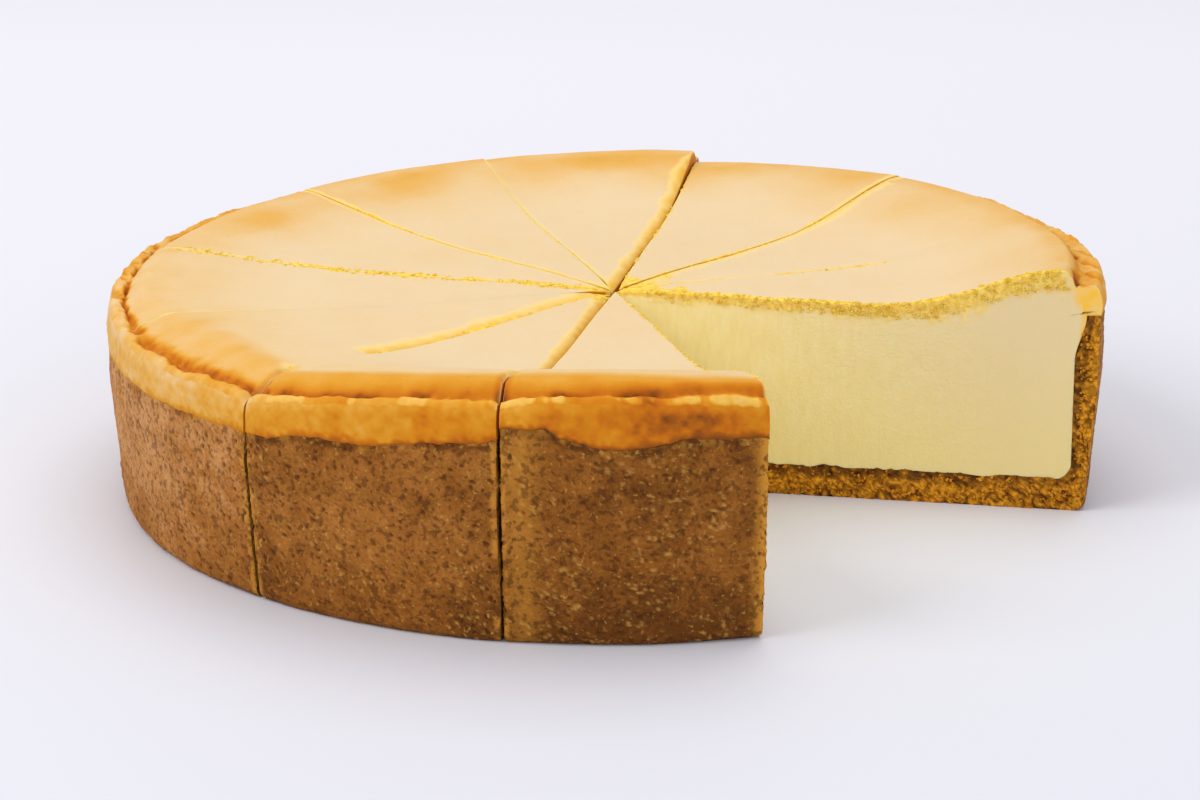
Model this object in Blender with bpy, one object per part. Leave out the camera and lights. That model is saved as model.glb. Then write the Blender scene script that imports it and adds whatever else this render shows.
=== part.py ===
"""A baked cheesecake cut for twelve, with ten slices left standing in their ring.

Each slice is two solids: a crumb crust (base and side wall in one) and the filling, which lies on
the base, stands against the wall and laps over the wall's top as a baked band. The row's origin is
the middle of the whole cake on the surface it stands on, +Z is up, and the two missing slices leave
a gap towards +X and -Y.
"""

import math

import bmesh
import bpy
from mathutils import Matrix, Vector

MM = 0.001

# The whole cake, in millimetres.
CAKE_RADIUS = 127.0
FOOT_INSET = 2.6
FOOT_CHAMFER = 3.0
STRAIGHT_WALL_FROM = 34.0
WALL_THICKNESS = 6.5
BASE_THICKNESS = 8.0
INNER_CORNER_RADIUS = 4.0
CORNER_POINTS = 3
PIECE_GAP = 0.3
# Where the cuts meet on the top: the knife missed the middle of the cake by this much.
KNIFE_POINT = (2.0, -6.3)

# The top: a shallow dish inside a raised crest, then a baked crack and the band over the wall.
CENTRE_HEIGHT = 52.5
CREST_RADIUS = 117.0
RISE_FROM = 66.0
RISE_POWER = 1.5
DIP_RADIUS = 60.0
DIP_WIDTH = 22.0
DIP_DEPTH = 0.6
DISH_RADII = (18, 38, 60, 76, 86, 94, 101, 108)
# Radius, drop below the crest: over the shoulder, into the crack and out round the band.
SHOULDER = ((117.0, 0.0), (120.2, 0.5), (122.4, 2.2), (122.0, 4.2), (124.4, 3.5), (126.3, 4.3), (127.0, 6.2))

REFERENCE_CREST = 58.0
REFERENCE_WALL = 48.0
STEPS = 6

# Counter-clockwise from the large open cut: the two cuts' angles in degrees, the crest's height at
# each, its extra height between them, and the crumb wall's height at each.
SLICES = (
    (-13.0, 17.0, 63.2, 60.2, 0.0, 51.0, 50.0),
    (17.0, 47.0, 60.0, 58.6, 0.0, 50.0, 49.0),
    (47.0, 77.6, 58.9, 55.7, 0.0, 49.0, 48.0),
    (77.6, 107.0, 58.9, 56.8, 0.0, 48.0, 47.0),
    (107.0, 134.5, 57.2, 55.6, 0.0, 47.0, 45.5),
    (134.5, 167.0, 55.4, 54.8, 0.0, 45.5, 43.5),
    (167.0, 197.0, 54.8, 54.4, 0.0, 43.5, 41.0),
    (197.0, 228.0, 54.4, 55.0, 0.0, 40.5, 42.3),
    (228.0, 258.8, 55.2, 63.4, 1.2, 42.6, 49.0),
    (258.8, 287.0, 63.4, 62.4, 1.1, 52.0, 48.6),
)
# How far each cut stands open, from the first slice's open face round to the last slice's.
CUT_GAPS = (0.0, 0.4, 0.5, 1.8, 0.5, 0.6, 0.6, 0.4, 0.7, 0.9, 0.0)

CRUST_LOOK = {"colour": (0.36, 0.17, 0.06, 1.0), "roughness": 0.85}
FILLING_LOOK = {"colour": (0.87, 0.70, 0.36, 1.0), "roughness": 0.45}


def clear_scene():
    for old in list(bpy.data.objects):
        bpy.data.objects.remove(old)


def make_material(name, look):
    material = bpy.data.materials.new(name)
    material.use_nodes = True
    shader = material.node_tree.nodes["Principled BSDF"]
    shader.inputs["Base Color"].default_value = look["colour"]
    shader.inputs["Roughness"].default_value = look["roughness"]
    shader.inputs["Metallic"].default_value = 0.0
    return material


def smooth_step(value):
    share = min(max(value, 0.0), 1.0)
    return share * share * (3.0 - 2.0 * share)


def rise_at(radius):
    """How far the top has risen towards the crest: 0 in the middle, 1 on the crest."""
    return smooth_step((radius - RISE_FROM) / (CREST_RADIUS - RISE_FROM)) ** RISE_POWER


def dish_height(radius):
    """Height of the top inside the crest, for a crest at its reference height."""
    dip = DIP_DEPTH * math.exp(-(((radius - DIP_RADIUS) / DIP_WIDTH) ** 2))
    return CENTRE_HEIGHT + (REFERENCE_CREST - CENTRE_HEIGHT) * rise_at(radius) - dip


def inner_corner(inset):
    """The rounded corner between base and wall, as an arc from the base out to the wall."""
    centre_radius = CAKE_RADIUS - WALL_THICKNESS - INNER_CORNER_RADIUS
    centre_height = BASE_THICKNESS + INNER_CORNER_RADIUS
    radius = INNER_CORNER_RADIUS - inset
    arc = []
    for step in range(CORNER_POINTS + 1):
        turn = math.radians(90.0 * step / CORNER_POINTS - 90.0)
        arc.append((centre_radius + radius * math.cos(turn), centre_height + radius * math.sin(turn)))
    return arc


def crust_outline():
    """Half the crust's section, from the axis under the base round to the axis on top of it.

    Each point is a radius, a height, and how much of the crest's and of the wall's own height it
    follows.
    """
    foot = CAKE_RADIUS - FOOT_INSET
    points = [
        (0.0, 0.0, 0.0, 0.0),
        (foot - FOOT_CHAMFER, 0.0, 0.0, 0.0),
        (foot, FOOT_CHAMFER, 0.0, 0.0),
        (CAKE_RADIUS, STRAIGHT_WALL_FROM, 0.0, 0.0),
        (CAKE_RADIUS, REFERENCE_WALL, 0.0, 1.0),
        (CAKE_RADIUS - WALL_THICKNESS, REFERENCE_WALL, 0.0, 1.0),
    ]
    points += [(radius, height, 0.0, 0.0) for radius, height in reversed(inner_corner(0.0))]
    points.append((0.0, BASE_THICKNESS, 0.0, 0.0))
    return points


def filling_outline():
    """Half the filling's section, from the axis on the base round to the axis on the top."""
    floor = BASE_THICKNESS + PIECE_GAP
    inner = CAKE_RADIUS - WALL_THICKNESS - PIECE_GAP
    lap = REFERENCE_WALL + PIECE_GAP
    points = [(0.0, floor, 0.0, 0.0)]
    points += [(radius, height, 0.0, 0.0) for radius, height in inner_corner(PIECE_GAP)]
    points += [(inner, lap, 0.0, 1.0), (CAKE_RADIUS, lap, 0.0, 1.0)]
    points += [(radius, REFERENCE_CREST - drop, 1.0, 0.0) for radius, drop in reversed(SHOULDER)]
    points += [(float(radius), dish_height(radius), rise_at(radius), 0.0) for radius in reversed(DISH_RADII)]
    points.append((0.0, dish_height(0.0), 0.0, 0.0))
    return points


def tip_of(start, end, start_gap, end_gap):
    """Where a slice's two cut faces meet, each moved half its gap into the slice."""
    into_start = Vector((-math.sin(start), math.cos(start)))
    into_end = Vector((math.sin(end), -math.cos(end)))
    faces = Matrix((into_start, into_end))
    return faces.inverted() @ Vector((start_gap / 2.0, end_gap / 2.0))


def turn_outline(outline, start, end):
    """Turns an outline about the Z axis from one angle to the other, and closes both cut faces."""
    mesh = bmesh.new()
    follows_crest = mesh.verts.layers.float.new("follows_crest")
    follows_wall = mesh.verts.layers.float.new("follows_wall")
    chain = []
    for radius, height, crest_share, wall_share in outline:
        vertex = mesh.verts.new((radius * math.cos(start), radius * math.sin(start), height))
        vertex[follows_crest] = crest_share
        vertex[follows_wall] = wall_share
        chain.append(vertex)
    edges = [mesh.edges.new(pair) for pair in zip(chain, chain[1:])]
    turned = bmesh.ops.spin(
        mesh, geom=chain + edges, cent=(0, 0, 0), axis=(0, 0, 1), angle=end - start, steps=STEPS
    )
    last_edges = [item for item in turned["geom_last"] if isinstance(item, bmesh.types.BMEdge)]
    last = [item for item in turned["geom_last"] if isinstance(item, bmesh.types.BMVert)]
    caps = []
    for ring, ring_edges in ((chain, edges), (last, last_edges)):
        ends = [vertex for vertex in ring if math.hypot(vertex.co.x, vertex.co.y) < 1e-6]
        caps.append(ring_edges + [mesh.edges.new(ends)])
    for cap in caps:
        bmesh.ops.contextual_create(mesh, geom=cap)
    bmesh.ops.remove_doubles(mesh, verts=mesh.verts, dist=1e-4)
    return mesh, follows_crest, follows_wall


def make_slice_piece(name, outline, row, gaps, material):
    """One wedge of a turned outline, set to its slice's own heights, cuts and gaps."""
    start, end = math.radians(row[0]), math.radians(row[1])
    crest_ends, crest_hump, wall_ends = row[2:4], row[4], row[5:7]
    mesh, follows_crest, follows_wall = turn_outline(outline, start, end)
    tip = tip_of(start, end, *gaps)
    shrink = 1.0 - tip.length / CAKE_RADIUS
    knife = Vector(KNIFE_POINT)
    for vertex in mesh.verts:
        turn = (math.atan2(vertex.co.y, vertex.co.x) - start) % (2.0 * math.pi)
        along = min(turn / (end - start), 1.0) if turn < math.pi else 0.0
        crest = crest_ends[0] + (crest_ends[1] - crest_ends[0]) * along
        crest += crest_hump * math.sin(math.pi * along)
        wall = wall_ends[0] + (wall_ends[1] - wall_ends[0]) * along
        vertex.co.z += vertex[follows_crest] * (crest - REFERENCE_CREST)
        vertex.co.z += vertex[follows_wall] * (wall - REFERENCE_WALL)
        # The rim keeps its place, and what is inside it moves more the nearer it is to the middle.
        inward = 1.0 - math.hypot(vertex.co.x, vertex.co.y) / CAKE_RADIUS
        vertex.co.x = vertex.co.x * shrink + tip.x + knife.x * inward
        vertex.co.y = vertex.co.y * shrink + tip.y + knife.y * inward
    bmesh.ops.recalc_face_normals(mesh, faces=mesh.faces)
    bmesh.ops.scale(mesh, vec=(MM, MM, MM), verts=mesh.verts)
    data = bpy.data.meshes.new(name)
    mesh.to_mesh(data)
    mesh.free()
    data.shade_smooth()
    data.set_sharp_from_angle(angle=math.radians(40.0))
    data.materials.append(material)
    piece = bpy.data.objects.new(name, data)
    bpy.context.scene.collection.objects.link(piece)
    return piece


def build_cheesecake():
    crust_material = make_material("crumb_crust", CRUST_LOOK)
    filling_material = make_material("baked_filling", FILLING_LOOK)
    for index, row in enumerate(SLICES):
        gaps = CUT_GAPS[index : index + 2]
        number = f"{index + 1:02d}"
        make_slice_piece("crust_" + number, crust_outline(), row, gaps, crust_material)
        make_slice_piece("filling_" + number, filling_outline(), row, gaps, filling_material)


clear_scene()
build_cheesecake()
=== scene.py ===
# %% [markdown]
# # A baked cheesecake, ten slices of twelve
# The fixed frame holds two plain solids for each slice: a crumb crust and the filling on it.
# This script keeps their places and sizes and gives each one a finely modelled piece instead:
# crumb relief, a torn skin at the cuts, a baked band over the wall, and the finish of each.

# %% Load the frame
import math

import bmesh
import bpy
import numpy as np
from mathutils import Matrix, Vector


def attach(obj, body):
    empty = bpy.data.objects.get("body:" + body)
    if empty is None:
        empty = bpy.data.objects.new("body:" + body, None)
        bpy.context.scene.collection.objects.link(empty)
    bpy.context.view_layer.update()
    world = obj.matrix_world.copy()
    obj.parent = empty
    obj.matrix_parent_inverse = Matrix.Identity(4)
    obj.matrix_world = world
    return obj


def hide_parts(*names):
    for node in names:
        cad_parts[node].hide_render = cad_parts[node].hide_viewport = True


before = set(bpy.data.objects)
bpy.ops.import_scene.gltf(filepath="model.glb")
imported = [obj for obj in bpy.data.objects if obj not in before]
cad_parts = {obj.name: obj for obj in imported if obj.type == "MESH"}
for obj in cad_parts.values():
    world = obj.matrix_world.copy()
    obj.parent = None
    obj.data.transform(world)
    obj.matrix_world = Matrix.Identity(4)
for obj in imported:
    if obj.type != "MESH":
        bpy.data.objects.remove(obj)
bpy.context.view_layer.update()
MM = 0.001
SLICE_NUMBERS = sorted(name[-2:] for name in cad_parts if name.startswith("crust_"))

# %% [markdown]
# ## What each slice's solids say
# A slice is a wedge, so its shape is known from its tip, the two angles of its cuts, and how high
# the rim stands along its arc. All of these are measured on the frame's own solids, ring by ring,
# so the fine pieces always land where the solids are. The cuts meet a little beside the middle of
# the cake. That is taken off before measuring and put back when a piece's points are placed.

# %% Measure a slice
FULL_RADIUS = 127.0
KNIFE_POINT = np.array((2.0, -6.3))
UNBENDING_ROUNDS = 8
RIM_SHARE = 0.85


def node_points(name):
    """A frame node's vertices, in millimetres, with the cuts brought back to the middle."""
    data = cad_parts[name].data
    flat = np.empty(len(data.vertices) * 3)
    data.vertices.foreach_get("co", flat)
    points = flat.reshape(-1, 3) / MM
    level = points[:, :2].copy()
    for _ in range(UNBENDING_ROUNDS):
        inward = 1.0 - np.hypot(level[:, 0], level[:, 1]) / FULL_RADIUS
        level = points[:, :2] - KNIFE_POINT * inward[:, None]
    return np.column_stack([level, points[:, 2]])


def rim_heights(points, tip, start):
    """The highest point of each ring round the rim, as (angle from the start, height) rows."""
    offset = points[:, :2] - tip
    reach = np.hypot(offset[:, 0], offset[:, 1])
    rim = reach > RIM_SHARE * reach.max()
    turn = (np.degrees(np.arctan2(offset[:, 1], offset[:, 0])) - start + 5.0) % 360.0 - 5.0
    rings = np.round(turn[rim], 1)
    return np.array([(ring, points[rim][rings == ring, 2].max()) for ring in np.unique(rings)])


def measure_slice(number):
    """Tip, cut angles and rim heights of one slice."""
    crust = node_points("crust_" + number)
    filling = node_points("filling_" + number)
    under = crust[crust[:, 2] < 0.1]
    reach = np.hypot(under[:, 0], under[:, 1])
    tip = under[reach.argmin(), :2]
    outer = under[reach > 0.9 * reach.max()] - np.append(tip, 0.0)
    middle = math.degrees(math.atan2(outer[:, 1].mean(), outer[:, 0].mean()))
    angles = (np.degrees(np.arctan2(outer[:, 1], outer[:, 0])) - middle + 180.0) % 360.0 - 180.0
    start, end = middle + angles.min(), middle + angles.max()
    return {
        "number": number,
        "tip": tip,
        "start": start,
        "end": end,
        "crest": rim_heights(filling, tip, start),
        "wall": rim_heights(crust, tip, start),
        "reach": np.hypot(*(crust[:, :2] - tip).T).max(),
    }


slices = [measure_slice(number) for number in SLICE_NUMBERS]
for found in slices:
    print(found["number"], "from", round(found["start"], 1), "to", round(found["end"], 1), "degrees")


crust_reaches = [np.hypot(*node_points("crust_" + number)[:, :2].T).max() for number in SLICE_NUMBERS]
CAKE_RADIUS = max(crust_reaches)
BASE_TOP = np.median([node_points("filling_" + number)[:, 2].min() for number in SLICE_NUMBERS])
print("radius", round(CAKE_RADIUS, 2), "top of the base", round(BASE_TOP, 2))

# %% [markdown]
# ## Uneven on purpose
# Nothing baked is smooth or regular. Two kinds of pattern in space do most of the work here: soft
# noise, a value that drifts from place to place, for lumps and stains, and cells, the distance to
# the nearest of many scattered points, for crumbs. They depend only on position and a seed, so
# every run gives the same cake, and neighbouring pieces agree where they meet.

# %% Soft noise and crumb cells
def scatter_value(x, y, z, seed):
    """A repeatable number from 0 to 1 for each whole-numbered corner of space."""
    mixed = (x * 73856093) ^ (y * 19349663) ^ (z * 83492791) ^ (seed * 2654435761)
    mixed = mixed & 0xFFFFFFFF
    mixed = ((mixed ^ (mixed >> 15)) * 2246822519) & 0xFFFFFFFF
    mixed = ((mixed ^ (mixed >> 13)) * 3266489917) & 0xFFFFFFFF
    return (mixed ^ (mixed >> 16)) / 4294967295.0


def soft_noise(points, size, seed):
    """Smooth noise from -1 to 1 whose lumps are about one size across."""
    scaled = points / size
    corner = np.floor(scaled).astype(np.int64)
    share = scaled - corner
    share = share * share * (3.0 - 2.0 * share)
    total = np.zeros(len(points))
    for dx in (0, 1):
        for dy in (0, 1):
            for dz in (0, 1):
                weight = np.where(dx, share[:, 0], 1 - share[:, 0])
                weight = weight * np.where(dy, share[:, 1], 1 - share[:, 1])
                weight = weight * np.where(dz, share[:, 2], 1 - share[:, 2])
                value = scatter_value(corner[:, 0] + dx, corner[:, 1] + dy, corner[:, 2] + dz, seed)
                total += weight * value
    return total * 2.0 - 1.0


def layered_noise(points, size, seed, layers=3):
    """Soft noise with finer and fainter copies of itself on top."""
    total = np.zeros(len(points))
    strength = 0.0
    for layer in range(layers):
        total += soft_noise(points, size / 2.0**layer, seed + layer) / 2.0**layer
        strength += 1.0 / 2.0**layer
    return total / strength


def cells(points, size, seed):
    """Distance to the nearest scattered point, in sizes, and that point's own number from 0 to 1."""
    scaled = points / size
    corner = np.floor(scaled).astype(np.int64)
    nearest = np.full(len(points), 9.0)
    own = np.zeros(len(points))
    for dx in (-1, 0, 1):
        for dy in (-1, 0, 1):
            for dz in (-1, 0, 1):
                cx, cy, cz = corner[:, 0] + dx, corner[:, 1] + dy, corner[:, 2] + dz
                px = cx + scatter_value(cx, cy, cz, seed)
                py = cy + scatter_value(cx, cy, cz, seed + 101)
                pz = cz + scatter_value(cx, cy, cz, seed + 202)
                away = (px - scaled[:, 0]) ** 2 + (py - scaled[:, 1]) ** 2 + (pz - scaled[:, 2]) ** 2
                closer = away < nearest
                nearest = np.where(closer, away, nearest)
                own = np.where(closer, scatter_value(cx, cy, cz, seed + 303), own)
    return np.sqrt(nearest), own


def ease(value):
    """0 below 0, 1 above 1, and a smooth climb between."""
    share = np.clip(value, 0.0, 1.0)
    return share * share * (3.0 - 2.0 * share)


def fade_in(value, begins, over):
    """0 until a value begins, and a smooth climb to 1 over the stretch that follows."""
    return ease((value - begins) / over)


def bump_at(value, middle, width):
    """A smooth hump of height 1 at the middle that fades out over the width."""
    return np.exp(-(((value - middle) / width) ** 2))


line_of_points = np.linspace((0.0, 0.0, 0.0), (3.0, 0.0, 0.0), 7)
print("noise along a line:", soft_noise(line_of_points, 1.0, 1).round(2))

# %% [markdown]
# ## The section of the cake
# Cut through, the cake shows the same section all the way round: a crumb base and wall, and a
# filling that dips in the middle, climbs to a crest, drops over a shoulder into a baked crack and
# comes out again as a band over the wall's top. The section is written once, as paths of radius
# and height, and every slice turns it round its own tip.

# %% Sizes of the section, in millimetres
WALL_THICKNESS = 6.5
FOOT_INSET = 2.6
FOOT_ROUND = 3.0
STRAIGHT_WALL_FROM = 34.0
INNER_CORNER = 4.0
CENTRE_HEIGHT = 52.5
CREST_RADIUS = 117.0
RISE_FROM, RISE_POWER = 66.0, 1.5
DIP_RADIUS, DIP_WIDTH, DIP_DEPTH = 60.0, 22.0, 0.6
INNER_WALL = CAKE_RADIUS - WALL_THICKNESS
WALL_LEAN, WALL_LEAN_FROM = 2.8, 12.0


def dish_height(radius, crest):
    """Height of the baked top inside the crest."""
    rise = ease((radius - RISE_FROM) / (CREST_RADIUS - RISE_FROM)) ** RISE_POWER
    dip = DIP_DEPTH * bump_at(radius, DIP_RADIUS, DIP_WIDTH)
    return CENTRE_HEIGHT + (crest - CENTRE_HEIGHT) * rise - dip


print("wall", WALL_THICKNESS, "thick, inner radius", round(INNER_WALL, 2), "crest at", CREST_RADIUS)

# %% [markdown]
# ## Where the crumb wall ends and how the rim cracked
# The wall was pressed into the tin by hand, so its top wanders up and down. As the cake cooled, the
# skin pulled away from the tin and cracked just outside the crest: a tight line at the front, and a
# wider, darker split towards the side where the batter ran thin. Each of these is a function of the
# angle round the cake, shared by every piece that meets there. One table holds them, with a row for
# every angle where something changes: the crest's radius, the crack's radius, its depth, its width
# and how burnt it is, darkened further by painted shade, the drop from crest to lip, how toasted the
# band, the crumb wall and the shoulder are, how deep the lip folds like a rope, and how wide the
# shoulder slopes.

# %% The rim as functions of the angle
RIM_COLUMNS = "angle crest crack depth width burnt drop band crumb shoulder rope slope".split()
RIM_STATIONS = np.array(
    [
        (-13, 116.2, 119.8, 1.6, 0.60, 0.84, 3.6, 0.50, 0.40, 0.34, 0.80, 4.8),
        (17, 116.4, 120.2, 1.4, 0.60, 0.82, 3.4, 0.50, 0.35, 0.38, 0.70, 4.8),
        (60, 117.0, 121.4, 0.9, 0.60, 0.70, 3.2, 0.50, 0.40, 0.36, 0.40, 5.4),
        (100, 117.0, 122.0, 0.8, 0.60, 0.70, 3.2, 0.50, 0.40, 0.34, 0.40, 5.4),
        (130, 117.0, 122.2, 1.0, 0.45, 0.80, 2.6, 0.54, 0.30, 0.34, 0.55, 5.4),
        (165, 117.0, 122.4, 1.2, 0.50, 0.80, 2.2, 0.51, 0.20, 0.30, 0.70, 5.4),
        (188, 116.0, 122.4, 1.2, 0.50, 0.78, 2.6, 0.42, 0.06, 0.28, 0.75, 6.5),
        (196, 112.0, 122.2, 1.2, 0.80, 0.70, 3.2, 0.38, 0.04, 0.30, 0.45, 10.0),
        (202, 108.0, 122.2, 1.4, 1.60, 0.70, 3.6, 0.38, 0.12, 0.36, 0.15, 14.0),
        (214, 108.0, 121.6, 1.7, 1.90, 0.74, 3.6, 0.43, 0.20, 0.36, 0.15, 14.0),
        (226, 112.0, 122.2, 1.4, 1.30, 0.76, 3.4, 0.48, 0.34, 0.38, 0.15, 10.0),
        (230, 117.0, 123.0, 1.1, 0.60, 0.76, 3.6, 0.54, 0.54, 0.48, 0.10, 6.0),
        (243, 118.4, 123.4, 1.3, 0.60, 0.80, 3.6, 0.59, 0.57, 0.50, 0.10, 5.0),
        (258, 119.0, 123.6, 1.3, 0.60, 0.80, 3.5, 0.63, 0.60, 0.51, 0.10, 4.6),
        (264, 119.0, 123.6, 1.4, 0.60, 0.84, 2.9, 0.66, 0.70, 0.53, 0.10, 4.6),
        (274, 119.8, 123.6, 1.6, 0.65, 0.86, 2.8, 0.74, 0.80, 0.55, 0.05, 4.4),
        (287, 121.0, 123.8, 1.4, 0.60, 0.84, 2.8, 0.72, 0.78, 0.53, 0.05, 3.6),
    ]
)


def once_round(angle):
    """The same direction, counted in degrees from just before the first slice."""
    return (angle + 14.0) % 360.0 - 14.0


def round_the_cake(angle, column):
    """One column of the rim's stations at any angle in degrees."""
    return np.interp(once_round(angle), RIM_STATIONS[:, 0], RIM_STATIONS[:, RIM_COLUMNS.index(column)])


def rim_points(angle, radius, height):
    """Points in space from polar ones, angle in degrees."""
    turn = np.radians(angle)
    return np.stack([radius * np.cos(turn), radius * np.sin(turn), height + 0.0 * turn], axis=1)


WALL_WANDERS = (
    (258, 0.0),
    (261, 1.6),
    (263.6, 2.1),
    (266, -0.6),
    (271, -1.8),
    (275, -0.6),
    (280, 1.3),
    (287, 0.6),
)


def wall_height(found, angle):
    """The crumb wall's uneven top, as high on the whole as the slice's own solid."""
    level = np.interp(angle - found["start"], found["wall"][:, 0], found["wall"][:, 1])
    place = rim_points(angle, CAKE_RADIUS, 0.0)
    level = level + np.interp(once_round(angle), *zip(*WALL_WANDERS), left=0.0, right=0.0)
    rough = 0.8 * soft_noise(place, 9.0, 11) + 0.35 * soft_noise(place, 3.2, 12)
    return level + rough + 0.2 * soft_noise(place, 1.3, 13)


def wall_inside(height, top):
    """The crumb wall's inner radius, which leans out near the top, where the wall thins."""
    return INNER_WALL + WALL_LEAN * ease((height - top + WALL_LEAN_FROM) / WALL_LEAN_FROM)


def crest_height(found, angle):
    """The height of a slice's crest along its arc."""
    return np.interp(angle - found["start"], found["crest"][:, 0], found["crest"][:, 1])


print("the wall's top strays by up to", max(stray for _, stray in WALL_WANDERS), "mm at the front")

# %% [markdown]
# ## How each cut edge was left
# A knife leaves no two edges alike. Some cuts are a hair line, some stand open, and some rolled the
# skin down into a soft golden slope on one side. The usual edge comes first, and then only what
# differs for one side of one slice: how far the cut stands open at the centre and at the rim, how
# wide and deep the edge rolls down, how wide the torn crumbly strip is, how wide the golden line
# beside the cut is at the centre and at the rim, between which radii the skin closed over again,
# how golden the rolled slope is, and how deep a groove the knife pressed where it left the rim.

# %% Cut edges
USUAL_EDGE = {
    "gap_centre": 0.0,
    "gap_rim": 0.0,
    "roll": 1.4,
    "drop": 0.30,
    "torn": 0.0,
    "line": 0.5,
    "line_rim": 0.5,
    "open": False,
    "healed": (300.0, 300.0),
    "gold": 0.0,
    "groove": 0.0,
}
EDGES = {
    ("01", "start"): {"roll": 1.2, "drop": 0.5, "torn": 1.0, "open": True},
    ("01", "end"): {"torn": 0.9, "line": 1.1, "line_rim": 0.6, "healed": (74.0, 104.0)},
    ("02", "start"): {"torn": 0.7, "line": 0.9, "line_rim": 0.5, "healed": (74.0, 104.0)},
    ("02", "end"): {
        "gap_centre": 0.15,
        "roll": 4.5,
        "drop": 0.4,
        "torn": 0.5,
        "line": 1.1,
        "line_rim": 3.2,
        "gold": 0.50,
    },
    ("03", "start"): {"gap_centre": 0.15, "drop": 0.1, "torn": 0.5, "line": 0.8, "line_rim": 1.8},
    ("03", "end"): {"gap_centre": 0.6, "gap_rim": 0.35, "roll": 0.9, "drop": 0.4, "torn": 0.6, "line": 0.7},
    ("04", "start"): {"gap_centre": 0.6, "gap_rim": 0.35, "roll": 3.2, "drop": 1.4, "line": 0.0, "gold": 1.0},
    ("04", "end"): {"gap_centre": 0.10, "drop": 0.2, "line": 0.7, "torn": 0.3},
    ("05", "start"): {"gap_centre": 0.10, "drop": 0.2, "line": 0.7, "torn": 0.3},
    ("05", "end"): {"drop": 0.2, "line": 0.9, "line_rim": 1.4, "torn": 0.4},
    ("06", "start"): {"roll": 2.6, "drop": 0.4, "line": 0.8, "line_rim": 2.0, "torn": 0.4, "gold": 0.40},
    ("06", "end"): {"drop": 0.2, "torn": 1.9, "line": 1.5, "line_rim": 1.2},
    ("07", "start"): {"drop": 0.4, "torn": 2.3, "line": 1.5, "line_rim": 1.2},
    ("07", "end"): {"gap_rim": 0.07, "drop": 0.1, "line": 0.2, "line_rim": 0.5, "healed": (2.0, 68.0)},
    ("08", "start"): {"gap_rim": 0.07, "drop": 0.1, "line": 0.2, "line_rim": 0.5, "healed": (2.0, 68.0)},
    ("08", "end"): {
        "gap_rim": 0.45,
        "roll": 6.5,
        "drop": 1.2,
        "torn": 1.8,
        "line": 0.3,
        "line_rim": 0.0,
        "gold": 0.85,
        "groove": 1.0,
        "healed": (84.0, 108.0),
    },
    ("09", "start"): {
        "gap_rim": 0.45,
        "drop": 0.3,
        "torn": 0.8,
        "line": 0.4,
        "line_rim": 0.0,
        "groove": 0.7,
        "healed": (84.0, 108.0),
    },
    ("09", "end"): {
        "gap_centre": 0.5,
        "gap_rim": 0.40,
        "roll": 3.4,
        "drop": 1.5,
        "line": 0.0,
        "line_rim": 0.0,
        "gold": 1.0,
        "groove": 0.8,
    },
    ("10", "start"): {
        "gap_centre": 0.5,
        "gap_rim": 0.40,
        "roll": 0.8,
        "drop": 0.35,
        "line": 0.4,
        "line_rim": 0.0,
        "groove": 0.7,
    },
    ("10", "end"): {"roll": 0.7, "drop": 0.1, "torn": 0.5, "open": True},
}
# How far from the tip the points of these slices crumbled.
CRUMBLED_TIPS = {"01": 16.0, "02": 15.0, "03": 13.0, "06": 4.0, "07": 7.0, "08": 7.0, "09": 8.0}
HEALING_WIDTH = 4.0
SIDES = ("start", "end")


def edge_of(number, side):
    """The full description of one side of one slice."""
    return {**USUAL_EDGE, **EDGES.get((number, side), {})}


def cut_through(edge, radius):
    """1 where the knife parted the skin, 0 where it closed over again."""
    low, high = edge["healed"]
    return 1.0 - fade_in(radius, low, HEALING_WIDTH) * (1.0 - fade_in(radius, high, HEALING_WIDTH))


print("edges described:", len(EDGES), "open:", sum(edge.get("open", False) for edge in EDGES.values()))

# %% [markdown]
# ## The torn ledge
# At the front the band's skin tore off the shoulder and left a pale, broken ledge. It crosses the
# lip, so the top and the band both ask how torn the rim is at an angle, and how far down its lower
# edge hangs there.

# %% The torn ledge on the band
LEDGE_FROM = 227.0
LEDGE_TOAST = 0.39
LEDGE_CRUMB = 0.3
LEDGE_FADE = 0.9


def torn_ledge(angle):
    """Where the band's skin tore off the shoulder and left a pale broken ledge, from 0 to 1."""
    rim = rim_points(angle, CAKE_RADIUS, 0.0)
    in_front = fade_in(once_round(angle), LEDGE_FROM, 3.0)
    broken = 0.9 * soft_noise(rim, 11.0, 63) + 0.7 * soft_noise(rim, 2.8, 66)
    return in_front * ease(0.42 + broken + 0.5 * soft_noise(rim, 1.1, 60))


def ledge_foot(angle):
    """How far below the band's crown the torn ledge reaches."""
    rim = rim_points(angle, CAKE_RADIUS, 0.0)
    ragged = 0.35 * soft_noise(rim, 6.0, 64) + 0.4 * soft_noise(rim, 1.8, 67)
    return 1.1 * torn_ledge(angle) - 1.55 + ragged + 0.25 * soft_noise(rim, 0.9, 70)


torn_share = float(torn_ledge(np.linspace(LEDGE_FROM + 3.0, 287.0, 200)).mean())
print("share of the front rim that is torn:", round(torn_share, 2))

# %% [markdown]
# ## A fine block to bend
# A slice is a box pinched to a line at its tip. So each piece starts as a cube whose edges are cut
# into many squares, and its three shares, 0 to 1 from tip to rim, from the first cut to the second
# and from the bottom to the top, say where every point goes on the real slice. Squares that follow
# the slice's own directions keep a long edge crisp, which a voxel remesh would chew up.

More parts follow.
